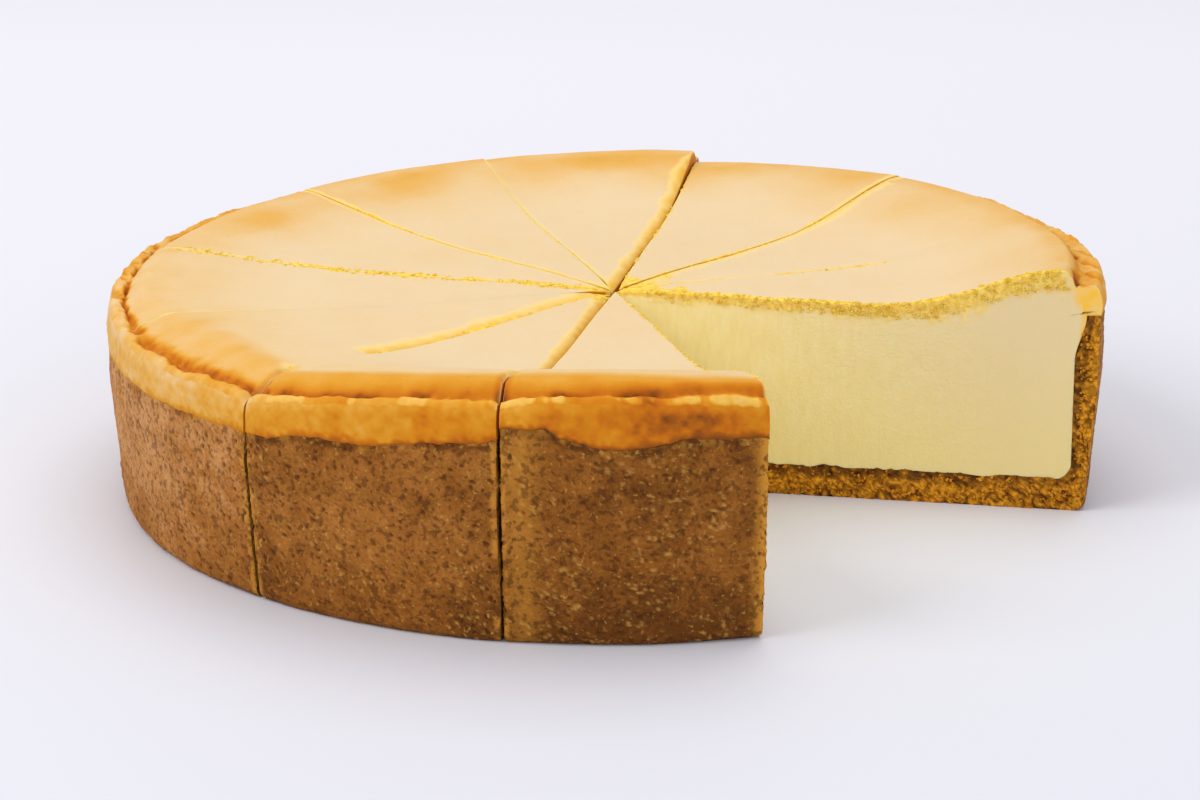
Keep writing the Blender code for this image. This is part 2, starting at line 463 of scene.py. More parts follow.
# %% Cut a cube into fine squares
def fine_block(name, tip_to_rim, cut_to_cut, low_to_high):
    """A cube from 0 to 1, its edges divided as often as asked along X, Y and Z."""
    mesh = bmesh.new()
    bmesh.ops.create_cube(mesh, size=1.0)
    bmesh.ops.translate(mesh, verts=mesh.verts, vec=(0.5, 0.5, 0.5))
    for axis, count in enumerate((tip_to_rim, cut_to_cut, low_to_high)):
        along = [edge for edge in mesh.edges if abs(edge.verts[0].co[axis] - edge.verts[1].co[axis]) > 1e-6]
        bmesh.ops.subdivide_edges(mesh, edges=along, cuts=count - 1, use_grid_fill=True)
    data = bpy.data.meshes.new(name)
    mesh.to_mesh(data)
    mesh.free()
    return data


def shares_of(data):
    """The three shares of every vertex of a block."""
    flat = np.empty(len(data.vertices) * 3)
    data.vertices.foreach_get("co", flat)
    return np.round(flat.reshape(-1, 3), 6).T


SHARP_OVER = 58.0


def close_up(data, points, values):
    """Moves a block's vertices to their places, keeps its values as attributes and welds the tip."""
    data.vertices.foreach_set("co", (points * MM).ravel())
    for name, value in values.items():
        attribute = data.attributes.new(name, "FLOAT", "POINT")
        attribute.data.foreach_set("value", np.asarray(value, np.float32))
    mesh = bmesh.new()
    mesh.from_mesh(data)
    bmesh.ops.remove_doubles(mesh, verts=mesh.verts, dist=0.002 * MM)
    bmesh.ops.dissolve_degenerate(mesh, edges=mesh.edges, dist=0.001 * MM)
    mesh.to_mesh(data)
    mesh.free()
    data.shade_smooth()
    data.set_sharp_from_angle(angle=math.radians(SHARP_OVER))
    return data


def place_piece(data, number, node, material):
    """Turns a finished mesh into the piece that stands for one of the frame's nodes."""
    data.materials.append(material)
    piece = bpy.data.objects.new(data.name, data)
    bpy.context.scene.collection.objects.link(piece)
    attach(piece, "root")
    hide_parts(node + number)
    return piece


# %% [markdown]
# ## From shares to places
# The same few steps place every piece: the share between the cuts becomes an angle, with more and
# finer squares near the cuts, and the distance to each cut is kept, because the edges are where
# most of the detail is. A face that stands open in the frame by more than the real cut does is
# moved towards its neighbour by the difference.

# %% Angles, edges and cut faces
EDGE_SHARE = 0.055
EDGE_CELLS = 0.16
CLOSING_WIDTH = 7.0
CENTRE_GAP_TO = 70.0
CLOSED_OVERLAP = 0.02
TIP_STAYS = 6.0
print("the outer", EDGE_CELLS, "of the squares cover", EDGE_SHARE, "of the arc beside each cut")


def angle_at(found, share):
    """The angle for a share between a slice's cuts, with finer squares next to both."""
    cells_to = (0.0, EDGE_CELLS, 1.0 - EDGE_CELLS, 1.0)
    angle_to = (0.0, EDGE_SHARE, 1.0 - EDGE_SHARE, 1.0)
    return found["start"] + (found["end"] - found["start"]) * np.interp(share, cells_to, angle_to)


def into_slice(found, side):
    """The level direction that points from one cut face into the slice."""
    turn = math.radians(found[side])
    flip = 1.0 if side == "start" else -1.0
    return np.array((-math.sin(turn), math.cos(turn))) * flip


def edge_distance(found, side, reach, angle):
    """How far points stand from one cut face."""
    turn = np.radians(angle - found[side]) * (1.0 if side == "start" else -1.0)
    return reach * np.sin(turn)


def cut_distances(found, reach, angle):
    """How far points stand from both cut faces, the first cut's first."""
    return [edge_distance(found, side, reach, angle) for side in SIDES]


def close_cut(found, side, radius, distance):
    """How far a cut face, and less and less of what is behind it, moves out to leave its real gap."""
    edge = edge_of(found["number"], side)
    if edge["open"]:
        return np.zeros(len(radius))
    near_centre = 1.0 - ease(radius / CENTRE_GAP_TO)
    gap = edge["gap_rim"] + (edge["gap_centre"] - edge["gap_rim"]) * near_centre
    gap = gap * cut_through(edge, radius) - CLOSED_OVERLAP
    standing = float(np.dot(found["tip"], into_slice(found, side)))
    fade = 1.0 - ease(distance / CLOSING_WIDTH)
    return (standing - gap) * fade * ease(radius / TIP_STAYS)


def level_places(found, radius, angle):
    """Where points at a radius and an angle stand, seen from above, once the cuts have closed."""
    turn = np.radians(angle)
    across = radius * found["reach"] / CAKE_RADIUS
    level = found["tip"][:, None] + across * np.stack([np.cos(turn), np.sin(turn)])
    for side, distance in zip(SIDES, cut_distances(found, across, angle)):
        push = close_cut(found, side, radius, distance)
        level = level - into_slice(found, side)[:, None] * push
    return level + KNIFE_POINT[:, None] * (1.0 - radius / FULL_RADIUS)


# %% [markdown]
# ## The filling
# Baked cream-cheese batter: a thin tan skin over a pale, dense inside. Four paths bound its
# section: the floor, the top, the tip's line and the outer side, which runs up inside the crumb
# wall, steps out over its top and climbs the band. Everything between them is blended, the way a
# cloth stretched between four bent wires would lie.

# %% Filling sizes
DISH_RIM = 112.0
LIP_RADIUS = 126.4
BAND_FOOT = 127.0
LEAST_BAND = 2.0
FLOOR_SHARE = 0.88
TOP_SHARE = 0.80
WALL_SHARE, STEP_SHARE = 0.80, 0.85
STEP_HEIGHT = 0.15
TINY = 1e-5
print("top from 0 to", DISH_RIM, "and over the rim to", LIP_RADIUS)

# %% Seams, folds and the crack
def seam_waver(place):
    """How far the line between crumb and filling strays, the same on both sides of it."""
    return 0.40 * soft_noise(place, 5.0, 41) + 0.25 * soft_noise(place, 1.7, 42)


def spread_cells(share, counts, knots):
    """Turns equal cells into stretches of a path with their own number of cells each."""
    ends = np.concatenate([[0.0], np.cumsum(counts)]) / sum(counts)
    return np.interp(share, ends, knots)


def rope_folds(angle, radius):
    """Slanting folds along the lip, like a loose rope, from -1 to 1."""
    along = np.radians(angle) * CAKE_RADIUS + 1.3 * (radius - 124.0)
    place = np.stack([along, 0.6 * radius, 0.0 * along], axis=1)
    fades = 0.35 + 0.65 * ease(0.5 + 1.2 * soft_noise(place, 14.0, 46))
    return fades * (0.8 * soft_noise(place, 4.6, 35) + 0.6 * soft_noise(place, 2.1, 47))


def crack_place(angle):
    """Where the crack runs round the rim, how wide it is and how far it opened."""
    on_rim = rim_points(angle, CAKE_RADIUS, 0.0)
    wanders = 0.5 * soft_noise(on_rim, 9.0, 22) + 0.35 * soft_noise(on_rim, 2.4, 36)
    middle = round_the_cake(angle, "crack") + wanders
    width = round_the_cake(angle, "width") * (1.0 + 0.35 * soft_noise(on_rim, 5.0, 23))
    parted = 0.72 + 1.0 * (round_the_cake(angle, "width") - 0.6)
    parted = ease(parted + 1.3 * soft_noise(on_rim, 5.5, 24) + 0.2 * soft_noise(on_rim, 1.8, 37))
    return middle, width, parted


def rim_state(radius, angle):
    """What the height and the colour of the top both need to know about the rim."""
    crack, width, parted = crack_place(angle)
    lip = ease((radius - crack - 0.2) / 1.0)
    return {
        "place": rim_points(angle, radius, 0.0),
        "on_rim": rim_points(angle, CAKE_RADIUS, 0.0),
        "crest": round_the_cake(angle, "crest"),
        "crack": crack,
        "width": width,
        "parted": parted,
        "lip": lip,
        "folds": rope_folds(angle, radius) * lip * round_the_cake(angle, "rope"),
    }


print("the crack's radius at the front:", crack_place(np.array([243.0]))[0].round(1))

# %% [markdown]
# ## The top's height
# From the middle outwards: the dish climbs to the crest, the shoulder drops to the crack, and the
# lip rounds over towards the band. Broad noise makes it sag a little, and fine noise roughens the
# crack and the lip. The front crest settled lower than its solid, so that is taken off last.

# %% The height of the baked top
FRONT_SETTLES = 0.65
SETTLES_FROM, SETTLES_OVER = 98.0, 14.0
FRONT_FROM, FRONT_OVER = 222.0, 8.0
ROUNDING_FROM, ROUNDING_OVER, ROUNDING_DEPTH = 124.9, 1.5, 1.3


def crown_drop(radius):
    """How far the lip has rounded over towards the band's face."""
    return ROUNDING_DEPTH * np.clip((radius - ROUNDING_FROM) / ROUNDING_OVER, 0.0, 1.3) ** 2


def top_height(found, radius, angle, rim):
    """Height of the baked top as it came out of the oven, before the knife."""
    place, on_rim = rim["place"], rim["on_rim"]
    scaled = radius * CREST_RADIUS / np.minimum(rim["crest"], CREST_RADIUS)
    height = dish_height(np.minimum(scaled, CREST_RADIUS), crest_height(found, angle))
    settled = fade_in(radius, SETTLES_FROM, SETTLES_OVER) * fade_in(once_round(angle), FRONT_FROM, FRONT_OVER)
    outside = ease((radius - rim["crest"] - 0.6) / round_the_cake(angle, "slope"))
    crack = bump_at(radius, rim["crack"], rim["width"])
    drop = round_the_cake(angle, "drop") + 0.4 * soft_noise(on_rim, 12.0, 21)
    height = height - drop * outside + 1.2 * rim["folds"] - crown_drop(radius)
    height = height - round_the_cake(angle, "depth") * (0.25 + 0.75 * rim["parted"]) * crack
    height = height + 0.40 * soft_noise(place, 34.0, 25) + 0.16 * soft_noise(place, 13.0, 26)
    rough = 0.03 + 0.16 * outside + 0.4 * crack * round_the_cake(angle, "width")
    rough = rough + 0.25 * rim["lip"] * round_the_cake(angle, "rope")
    height = height + rough * soft_noise(place, 1.5, 27) + 0.20 * outside * soft_noise(place, 3.2, 28)
    return height - FRONT_SETTLES * settled


print("the lip has rounded over by", round(float(crown_drop(LIP_RADIUS)), 2), "mm at its edge")

# %% [markdown]
# ## What the knife did to the top
# Beside a cut the skin rolls down, a narrow line of it turns golden, and the edge may tear into
# crumbs: all along an open cut, in patches along a closed one. Some tips crumbled away altogether.
# Where a knife left the rim under pressure it also pressed a groove into the shoulder, and the groove is
# painted darker as shade.

# %% What the knife left beside the cuts
GROOVE_DEPTH, GROOVE_WIDTH = 0.8, 2.2
GROOVE_FROM, GROOVE_OVER = 107.0, 4.0


def golden_line(edge, radius, near, uneven):
    """How golden the narrow line beside a cut is."""
    width = edge["line"] + (edge["line_rim"] - edge["line"]) * fade_in(radius, 70.0, 35.0)
    across = near / np.maximum(width * uneven, 0.05)
    return (0.40 + 0.35 * edge["gold"]) * (1.0 - fade_in(across, 0.3, 0.7))


def torn_strip(edge, near, uneven, place):
    """How torn the strip beside a cut is: all along an open cut, in patches along a closed one."""
    if edge["torn"] == 0.0:
        return np.zeros(len(near))
    strip = 1.0 - fade_in(near / (edge["torn"] * uneven), 0.6, 0.6)
    return strip * (1.0 if edge["open"] else ease(0.5 + 1.5 * soft_noise(place, 5.0, 44)))


def knife_marks(found, radius, place, both_near):
    """How far the top sinks beside the cuts, how torn and rolled it is there, and where a groove is painted
    shade.
    """
    sinks, torn, rolled, groove_shade = np.zeros((4, len(radius)))
    broad = 1.0 - 0.75 * fade_in(radius, 108.0, 7.0)
    wander = 1.0 + 0.20 * soft_noise(place, 9.0, 29) + 0.16 * soft_noise(place, 2.4, 50)
    patchy = 1.0 + 0.3 * soft_noise(place, 2.6, 51)
    uneven = 1.0 + 0.5 * soft_noise(place, 3.0, 30) + 0.3 * soft_noise(place, 1.2, 43)
    for side, near in zip(SIDES, both_near):
        edge = edge_of(found["number"], side)
        parting = cut_through(edge, radius)
        roll = 1.0 - np.clip(near / (edge["roll"] * wander * broad), 0.0, 1.0)
        pressed = edge["groove"] * fade_in(radius, GROOVE_FROM, GROOVE_OVER)
        groove = pressed * (1.0 - ease(near / GROOVE_WIDTH))
        sinks = sinks + edge["drop"] * parting * broad * roll**2 + GROOVE_DEPTH * groove
        groove_shade = np.maximum(groove_shade, groove)
        rolled = np.maximum(rolled, edge["gold"] * parting * broad * roll * patchy)
        rolled = np.maximum(rolled, parting * golden_line(edge, radius, near, uneven))
        torn = np.maximum(torn, parting * torn_strip(edge, near, uneven, place))
    torn = torn * (1.0 - fade_in(radius, 114.0, 3.0))
    rolled = rolled * (1.0 - 0.6 * fade_in(radius, 116.0, 4.0))
    crumbled = CRUMBLED_TIPS.get(found["number"], 0.0) * (1.0 + 0.5 * soft_noise(place, 3.5, 32))
    torn = np.maximum(torn, 0.95 * ease((crumbled - radius) / 3.0))
    sinks = sinks + 0.4 * torn * (cells(place, 1.1, 31)[0] - 0.45)
    return sinks, torn, rolled, groove_shade


print("edges that the knife pressed a groove beside:", sum("groove" in edge for edge in EDGES.values()))

# %% [markdown]
# ## How toasted the top is, and where shade is painted
# One number from 0, pale, to 1, nearly black, says how far each spot baked, and the material turns
# it into a colour. It climbs slowly from the middle to the crest, faster on the shoulder and the
# lip, and is highest in the crack, where the skin burnt. The same number carries painted shade:
# in the crack, in the knife's grooves and in the rope's creases along the lip.

# %% The toast and painted shade of the top
SHOULDER_BEGINS = 7.0


def toast_and_shade_of_top(radius, angle, rim, groove_shade):
    """How toasted the skin is everywhere but in the crack and on the torn ledge, with painted shade in the
    knife's grooves and the rope's creases.
    """
    place, on_rim, lip = rim["place"], rim["on_rim"], rim["lip"]
    toast = 0.11 + 0.07 * layered_noise(place, 30.0, 33)
    far_side = ease(0.5 + 0.6 * np.sin(np.radians(angle - 15.0)))
    outwards = (0.11 + 0.13 * far_side) * fade_in(radius, 76.0, 36.0)
    toast = toast + outwards * (1.0 + 0.5 * soft_noise(place, 18.0, 34))
    shoulder = round_the_cake(angle, "shoulder")
    on_shoulder = radius - rim["crest"] + SHOULDER_BEGINS
    on_shoulder = ease(on_shoulder / (SHOULDER_BEGINS + 0.1 * round_the_cake(angle, "slope")))
    toast = toast + (shoulder + 0.04 * soft_noise(place, 6.0, 38) - toast) * on_shoulder
    before_crack = ease((radius - rim["crack"] + 3.4) / 3.0) * fade_in(shoulder, 0.25, 0.2)
    # Painted shade: the knife's grooves are toasted darker.
    toast = toast + (0.17 * before_crack + 0.26 * groove_shade) * (1.0 - lip)
    band = round_the_cake(angle, "band") - 0.06
    band = band + 0.10 * soft_noise(on_rim, 5.0, 39) + 0.06 * soft_noise(place, 1.4, 45)
    toast = toast + (band - toast) * lip
    # Painted shade: the hollows of the rope's creases are toasted darker.
    return toast + 0.22 * ease((-rim["folds"] - 0.10) / 0.3)


def filling_top(found, radius, angle, near_start, near_end):
    """Height of the baked top, and how toasted, torn, rolled and ledged it is, with painted shade in the
    crack, the grooves and the rope's creases.
    """
    rim = rim_state(radius, angle)
    place = rim["place"]
    sinks, torn, rolled, groove_shade = knife_marks(found, radius, place, (near_start, near_end))
    height = top_height(found, radius, angle, rim) - sinks
    toast = toast_and_shade_of_top(radius, angle, rim, groove_shade)
    torn_off = torn_ledge(angle)
    below = crown_drop(radius) - crown_drop(LIP_RADIUS)
    ledge = torn_off * ease((radius - rim["crack"] - 0.6 - 1.4 * (1.0 - torn_off)) / 0.6)
    ledge = ledge * (1.0 - ease((below - ledge_foot(angle)) / LEDGE_FADE))
    toast = toast + (LEDGE_TOAST - toast) * ledge
    burnt = round_the_cake(angle, "burnt") + 0.07 * soft_noise(place, 1.3, 40)
    frayed = soft_noise(place, 2.6, 48) + 0.4 * soft_noise(place, 1.0, 49)
    frayed = radius + 0.35 * rim["width"] * frayed
    # The crack's dark colour is partly burnt skin and partly painted shade in the crack.
    crack_burn_and_shade = np.clip(1.4 * bump_at(frayed, rim["crack"] - 0.1, rim["width"] * 1.3), 0.0, 1.0)
    crack_burn_and_shade = crack_burn_and_shade * (0.25 + 0.75 * rim["parted"])
    toast = toast + (burnt - toast) * crack_burn_and_shade
    return height, toast, torn, rolled, LEDGE_CRUMB * ledge * (1.0 - crack_burn_and_shade)


trial_radii, trial_angles, far_away = np.array([20.0, 60.0, 112.0]), np.full(3, 2.0), np.full(3, 30.0)
trial_heights = filling_top(slices[0], trial_radii, trial_angles, far_away, far_away)[0]
print("slice 01 is", trial_heights.round(1), "mm high at radii", trial_radii)

# %% [markdown]
# ## The band over the wall
# Outside the lip the filling laps over the crumb wall. It bulges a little, shares its broad lumps
# with the wall so that the two meet flush, carries the lower edge of the torn ledge, and darkens
# towards the crumbs, partly browned batter and partly painted shade. The notch under the ledge is
# painted darker as shade too.

# %% The band's relief, toast and painted shade
GOLDEN_AT = 261.0
CRUMB_LINE_TOAST_AND_SHADE = 0.90


def shared_lumps(points):
    """Broad lumps that crumb wall and band share, so that they meet flush."""
    return 0.22 * soft_noise(points, 8.0, 81) + 0.12 * soft_noise(points, 2.8, 82)


def band_look(angle, height, wall, crown):
    """How far the band over the wall stands out, how toasted it is, with painted shade in the notch and at
    its foot, and how torn.
    """
    place = rim_points(angle, CAKE_RADIUS, height)
    below = crown - height
    above = height - wall
    climb = np.clip(above / np.maximum(crown - wall, 0.5), 0.0, 1.0)
    lumps = 0.25 * soft_noise(place, 4.5, 61) + 0.15 * soft_noise(place, 1.5, 62)
    stands = 0.25 * np.sin(math.pi * climb) - (BAND_FOOT - LIP_RADIUS) * climb**3
    stands = stands + shared_lumps(place) * (1.0 - climb**4) + lumps * np.sin(math.pi * climb**0.7)
    torn_off = torn_ledge(angle)
    ledge_to = ledge_foot(angle)
    ledge = (1.0 - ease((below - ledge_to) / LEDGE_FADE)) * torn_off
    edge = bump_at(below, ledge_to - 0.3, 0.5) * torn_off
    notch = bump_at(below, ledge_to + 0.4, 0.35) * torn_off
    stands = stands + (0.40 * edge - 0.35 * notch) * (1.0 - climb**6)
    mottled = 0.12 * layered_noise(place, 7.0, 65) + 0.11 * layered_noise(place, 1.6, 59)
    toast = round_the_cake(angle, "band") + mottled
    # Painted shade: the notch under the torn ledge is toasted darker.
    toast = toast - 0.08 * ease(1.0 - below / 3.0) + 0.12 * notch
    golden = ease(1.0 - np.abs(once_round(angle) - GOLDEN_AT) / 2.6)
    toast = toast - 0.14 * golden * ease(1.3 - below / 9.0)
    # The darker foot of the band is partly browned batter and partly painted shade.
    strength = 0.25 + 0.75 * round_the_cake(angle, "crumb")
    soft = 2.4 + 1.4 * soft_noise(place, 3.0, 68) + 1.4 * soft_noise(place, 1.1, 69)
    browned_and_shaded_foot = (1.0 - ease(above / np.maximum(soft, 0.3))) * strength
    toast = toast + (CRUMB_LINE_TOAST_AND_SHADE - toast) * browned_and_shaded_foot
    toast = toast + (LEDGE_TOAST - toast) * ledge
    return stands, toast, LEDGE_CRUMB * ledge


# %% [markdown]
# ## A cut face of the filling
# A closed cut only needs a face painted dark brown as the shade in its narrow gap, for it is never
# seen but as a line. On an open one a strip under the skin tore into crumbs, some of it hangs down,
# faint streaks follow the knife near the tip, and one patch out towards the rim is more granular
# than the rest.

# %% The cut faces' relief, toast and painted shade
CLOSED_FACE_SHADE_TOAST = 0.66
GRANULAR_RADIUS, GRANULAR_HEIGHT = 76.0, 30.0


def face_look(found, side, radius, height, depth):
    """How a cut face of the filling stands out, and how toasted and how torn it is; a closed one is only
    painted dark as shade.
    """
    if not edge_of(found["number"], side)["open"]:
        closed = np.zeros(len(radius))
        # A closed face is painted dark brown as the shade in its narrow gap.
        return closed, closed + CLOSED_FACE_SHADE_TOAST, closed
    place = np.stack([radius, np.full(len(radius), found[side]), height], axis=1)
    wander = 1.0 + 0.35 * soft_noise(place, 6.0, 71) + 0.35 * soft_noise(place, 1.8, 72)
    width = 3.2 + 3.8 * fade_in(radius, 62.0, 36.0) - 2.0 * ease((25.0 - radius) / 20.0)
    ends = 1.0 - fade_in(radius, 115.5, 4.0)
    torn = (1.0 - fade_in(depth / (width * wander), 0.30, 0.9)) * ends
    hanging = ease(1.0 - depth / 7.0) * ease(soft_noise(place, 2.2, 73) / 0.4) * (1.0 - torn) * ends
    distance, own = cells(place, 1.25, 74)
    crumb = ease((0.80 - distance) / 0.6) * (0.4 + 0.6 * own)
    granular = bump_at(radius, GRANULAR_RADIUS, 24.0) * bump_at(height, GRANULAR_HEIGHT, 17.0)
    granular = granular * ease(0.8 + 1.2 * soft_noise(place, 9.0, 79))
    streak = soft_noise(place * np.array((1.0, 1.0, 0.12)), 1.8, 75)
    relief = 0.05 * streak * ease((70.0 - radius) / 40.0) + 0.20 * soft_noise(place, 24.0, 76)
    relief = relief + (0.03 + 0.20 * granular) * soft_noise(place, 1.4, 77)
    relief = relief + torn * (0.27 * crumb - 0.11) + 0.22 * hanging * crumb
    relief = relief * ease(radius / 6.0) * (1.0 - fade_in(radius, 115.0, 3.0))
    to_lip = ease((radius - 116.5 + 0.8 * soft_noise(place, 2.5, 78)) / 5.0)
    to_lip = to_lip * np.maximum(ease((7.0 - depth) / 4.0), fade_in(radius, 121.0, 1.5))
    baked = 0.85 + 0.35 * soft_noise(place, 2.6, 57) + 0.2 * soft_noise(place, 1.1, 58)
    toast = np.maximum(0.30 * (1.0 - ease(depth / 0.6)), np.clip(baked, 0.0, 1.0) * to_lip)
    return relief, toast, np.clip(torn * (0.7 + 0.3 * crumb) + 0.35 * hanging * crumb, 0.0, 1.0)


# %% [markdown]
# ## Bend a block into filling
# The four paths meet at four corners, so the blend adds what the low and high paths say to what the
# inner and outer ones say, and takes off the corners that would then count twice. The step over the
# wall pulls only on what is close to the rim, by a high power of the share, or squares would fold.

# %% Bend a block into filling
RIM_PULL = 8.0


def along_the_rim(found, share):
    """The heights of the lip and of the crumb wall at each share between the cuts."""
    rings, ring_of = np.unique(share, return_inverse=True)
    ring_angle = angle_at(found, rings)
    at_lip = np.full(len(rings), LIP_RADIUS)
    near = cut_distances(found, at_lip * found["reach"] / CAKE_RADIUS, ring_angle)
    crown = filling_top(found, at_lip, ring_angle, *near)[0]
    wall = np.minimum(wall_height(found, ring_angle), crown - LEAST_BAND)
    return crown[ring_of], wall[ring_of]


def bend_filling(found, data, along, upward):
    """Places a block's vertices as one slice's filling, and says how each spot baked and where shade is
    painted on it.
    """
    a, b, c = shares_of(data)
    on_top, on_rim = c > 1.0 - TINY, a > 1.0 - TINY
    a = spread_cells(a, along, (0.0, TOP_SHARE, 1.0))
    c = spread_cells(c, upward, (0.0, WALL_SHARE, STEP_SHARE, 1.0))
    angle = angle_at(found, b)

    turn = np.clip((a - FLOOR_SHARE) / (1.0 - FLOOR_SHARE), 0.0, 1.0) * math.pi / 2
    floor_radius = (INNER_WALL - INNER_CORNER) * np.clip(a / FLOOR_SHARE, 0.0, 1.0)
    floor_radius = floor_radius + INNER_CORNER * np.sin(turn)
    waver = seam_waver(rim_points(angle, floor_radius, 0.0)) * ease(a / 0.05)
    floor_height = BASE_TOP + waver + INNER_CORNER * (1.0 - np.cos(turn))
    top_radius = np.interp(a, (0.0, TOP_SHARE, 1.0), (0.0, DISH_RIM, LIP_RADIUS))
    near = cut_distances(found, top_radius * found["reach"] / CAKE_RADIUS, angle)
    top, top_toast_and_shade, top_torn, rolled, ledge = filling_top(found, top_radius, angle, *near)
    tip = top[a < TINY].mean()

    crown, wall = along_the_rim(found, b)
    corner = BASE_TOP + INNER_CORNER + seam_waver(rim_points(angle, INNER_WALL, 0.0))
    up_wall = np.clip(c / WALL_SHARE, 0.0, 1.0)
    over_wall = np.clip((c - WALL_SHARE) / (STEP_SHARE - WALL_SHARE), 0.0, 1.0)
    up_band = np.clip((c - STEP_SHARE) / (1.0 - STEP_SHARE), 0.0, 1.0)
    side_height = corner + (wall - corner) * up_wall + STEP_HEIGHT * over_wall
    side_height = side_height + (crown - wall - STEP_HEIGHT) * up_band
    stands, band_toast_and_shade, band_torn = band_look(angle, side_height, wall, crown)
    inside_wall = wall_inside(side_height, wall)
    side_radius = inside_wall + (BAND_FOOT - inside_wall) * over_wall + stands * (over_wall == 1.0)

    straight = INNER_WALL + (LIP_RADIUS - INNER_WALL) * c
    radius = (1.0 - c) * floor_radius + c * top_radius + a**RIM_PULL * (side_radius - straight)
    tip_height = BASE_TOP + (tip - BASE_TOP) * c
    corners = (1.0 - a) * tip_height + a * ((1.0 - c) * corner + c * crown)
    low_and_high = (1.0 - c) * floor_height + c * top
    in_and_out = (1.0 - a) * tip_height + a * side_height
    height = low_and_high + in_and_out - corners

    toast = np.where(on_rim & ~on_top, band_toast_and_shade, top_toast_and_shade)
    torn = np.where(on_rim, band_torn, np.maximum(top_torn, ledge))
    rolled = np.where(on_rim & ~on_top, 0.0, rolled)
    inside = np.zeros(len(a))
    level = level_places(found, radius, angle)
    for side, on_face in zip(SIDES, (b < TINY, b > 1.0 - TINY)):
        relief, face_toast_and_shade, face_torn = face_look(found, side, radius, height, top - height)
        level = level - into_slice(found, side)[:, None] * np.where(on_face, relief, 0.0)
        only_face = on_face & ~on_top & ~on_rim
        toast, torn = np.where(only_face, face_toast_and_shade, toast), np.where(only_face, face_torn, torn)
        inside = np.where(only_face, float(edge_of(found["number"], side)["open"]), inside)
        rolled = np.where(only_face, 0.0, rolled)
    points = np.stack([level[0], level[1], height], axis=1)
    return points, {"toast": toast, "torn": torn, "inside": inside, "rolled": rolled}


# %% [markdown]
# ## The crumb crust
# Biscuit crumbs bound with butter and pressed into the tin: a flat base that turns up into a thin
# wall. One bent plate gives both, from the tip out along the base, round the corner and up. Where it
# leaned on the tin it is smooth and brown with pits between the crumbs and a patch of pale flecks
# at the front, and where the knife went through it is coarse, golden and full of crevices.

# %% The crumbs' relief
FLECKED_AT, FLECKED_HEIGHT = 276.5, 33.0
FACE_RECESS = 0.05


def bent_places(points, size, strength, first_seed):
    """Points pushed about by soft noise, so that the cells found there are less regular."""
    push = [soft_noise(points, size, first_seed + axis) for axis in range(3)]
    return points + strength * np.stack(push, axis=1)


def tin_side_look(points):
    """The side that leaned on the tin: how it stands out, its pits with their painted shade, and its pale
    flecks.
    """
    bent = bent_places(points, 0.9, 0.5, 180)
    crowded = ease(0.5 + 1.3 * soft_noise(points * np.array((1.0, 1.0, 0.6)), 10.0, 90))
    distance, own = cells(bent, 1.8, 83)
    pit = ease((own - 0.62 + 0.3 * crowded) / 0.2) * ease((0.42 - distance) / 0.2)
    small, small_own = cells(bent, 0.9, 84)
    small_shaded_pit = fade_in(small_own, 0.62, 0.3) * ease((0.45 - small) / 0.2)
    direction = once_round(np.degrees(np.arctan2(points[:, 1], points[:, 0])))
    flecked = bump_at(direction, FLECKED_AT, 5.0) * bump_at(points[:, 2], FLECKED_HEIGHT, 14.0)
    patch = 0.25 + 1.9 * soft_noise(points * np.array((1.0, 1.0, 0.5)), 8.0, 85) + 0.9 * flecked
    fleck, fleck_own = cells(bent * np.array((1.0, 1.0, 0.75)), 1.25, 86)
    fleck = fade_in(fleck_own, 0.5, 0.2) * ease((0.44 - fleck) / 0.16) * ease(patch)
    stands = 0.14 * (0.5 - small) - 0.42 * pit - 0.22 * small_shaded_pit + 0.16 * fleck
    return stands, np.maximum(0.85 * pit, 0.65 * small_shaded_pit), fleck


def cut_crumb_look(points):
    """A face the knife went through: how it stands out, its crevices with their painted shade, and its pale
    crumbs.
    """
    bent = bent_places(points, 1.1, 0.4, 183)
    coarse, coarse_own = cells(bent, 1.6, 91)
    fine, fine_own = cells(bent, 0.8, 92)
    shaded_crevice = fade_in(coarse, 0.50, 0.2) * ease(0.55 + 1.3 * soft_noise(points, 3.0, 93))
    stands = 0.50 * (0.5 - coarse) + 0.35 * (0.5 - fine) + 0.25 * soft_noise(points, 5.0, 94)
    stands = stands - 0.60 * shaded_crevice - FACE_RECESS
    # The crevice mask is also painted dark as shade in the crust's colour.
    shaded_crevice = np.maximum(shaded_crevice, 0.75 * fade_in(fine, 0.46, 0.2))
    return stands, shaded_crevice, 0.5 * coarse_own**2 + 0.5 * fine_own


# %% [markdown]
# ## How the crumbs browned, with painted shade and highlight
# The tin side is painted darker as shade towards its foot and along its top line under the band. It
# stays golden in smears under the band and at one stretch in front, and beside the cuts it gets a
# golden painted highlight, most of all at the corner of the open cut, where no slice stands next to
# it. On a cut face the filling's moisture soaked in from its side.

# %% The crumbs' toast, gold, soak, painted shade and painted highlight
CORNER_HIGHLIGHT, CORNER_HIGHLIGHT_WIDTH = 1.6, 4.4
STRETCH_GOLD = 0.55


def crumb_toast_and_shade(points, angle, height, top, cut):
    """How brown the crumbs are, with painted shade towards the foot and along the top line under the band."""
    browned = round_the_cake(angle, "crumb")
    toast = browned + 0.22 * layered_noise(points, 22.0, 88) + 0.10 * soft_noise(points, 4.0, 97)
    # Painted shade: darker towards the foot.
    toast = toast + 0.23 * (1.0 - ease(height / 24.0))
    # Painted shade along the wall's top line, under the band's edge.
    top_line_shade = ease(1.25 - (top - height) / 2.2) * ease(0.5 + 1.4 * soft_noise(points, 9.0, 89))
    return toast + 0.8 * top_line_shade * (1.0 - cut) * browned


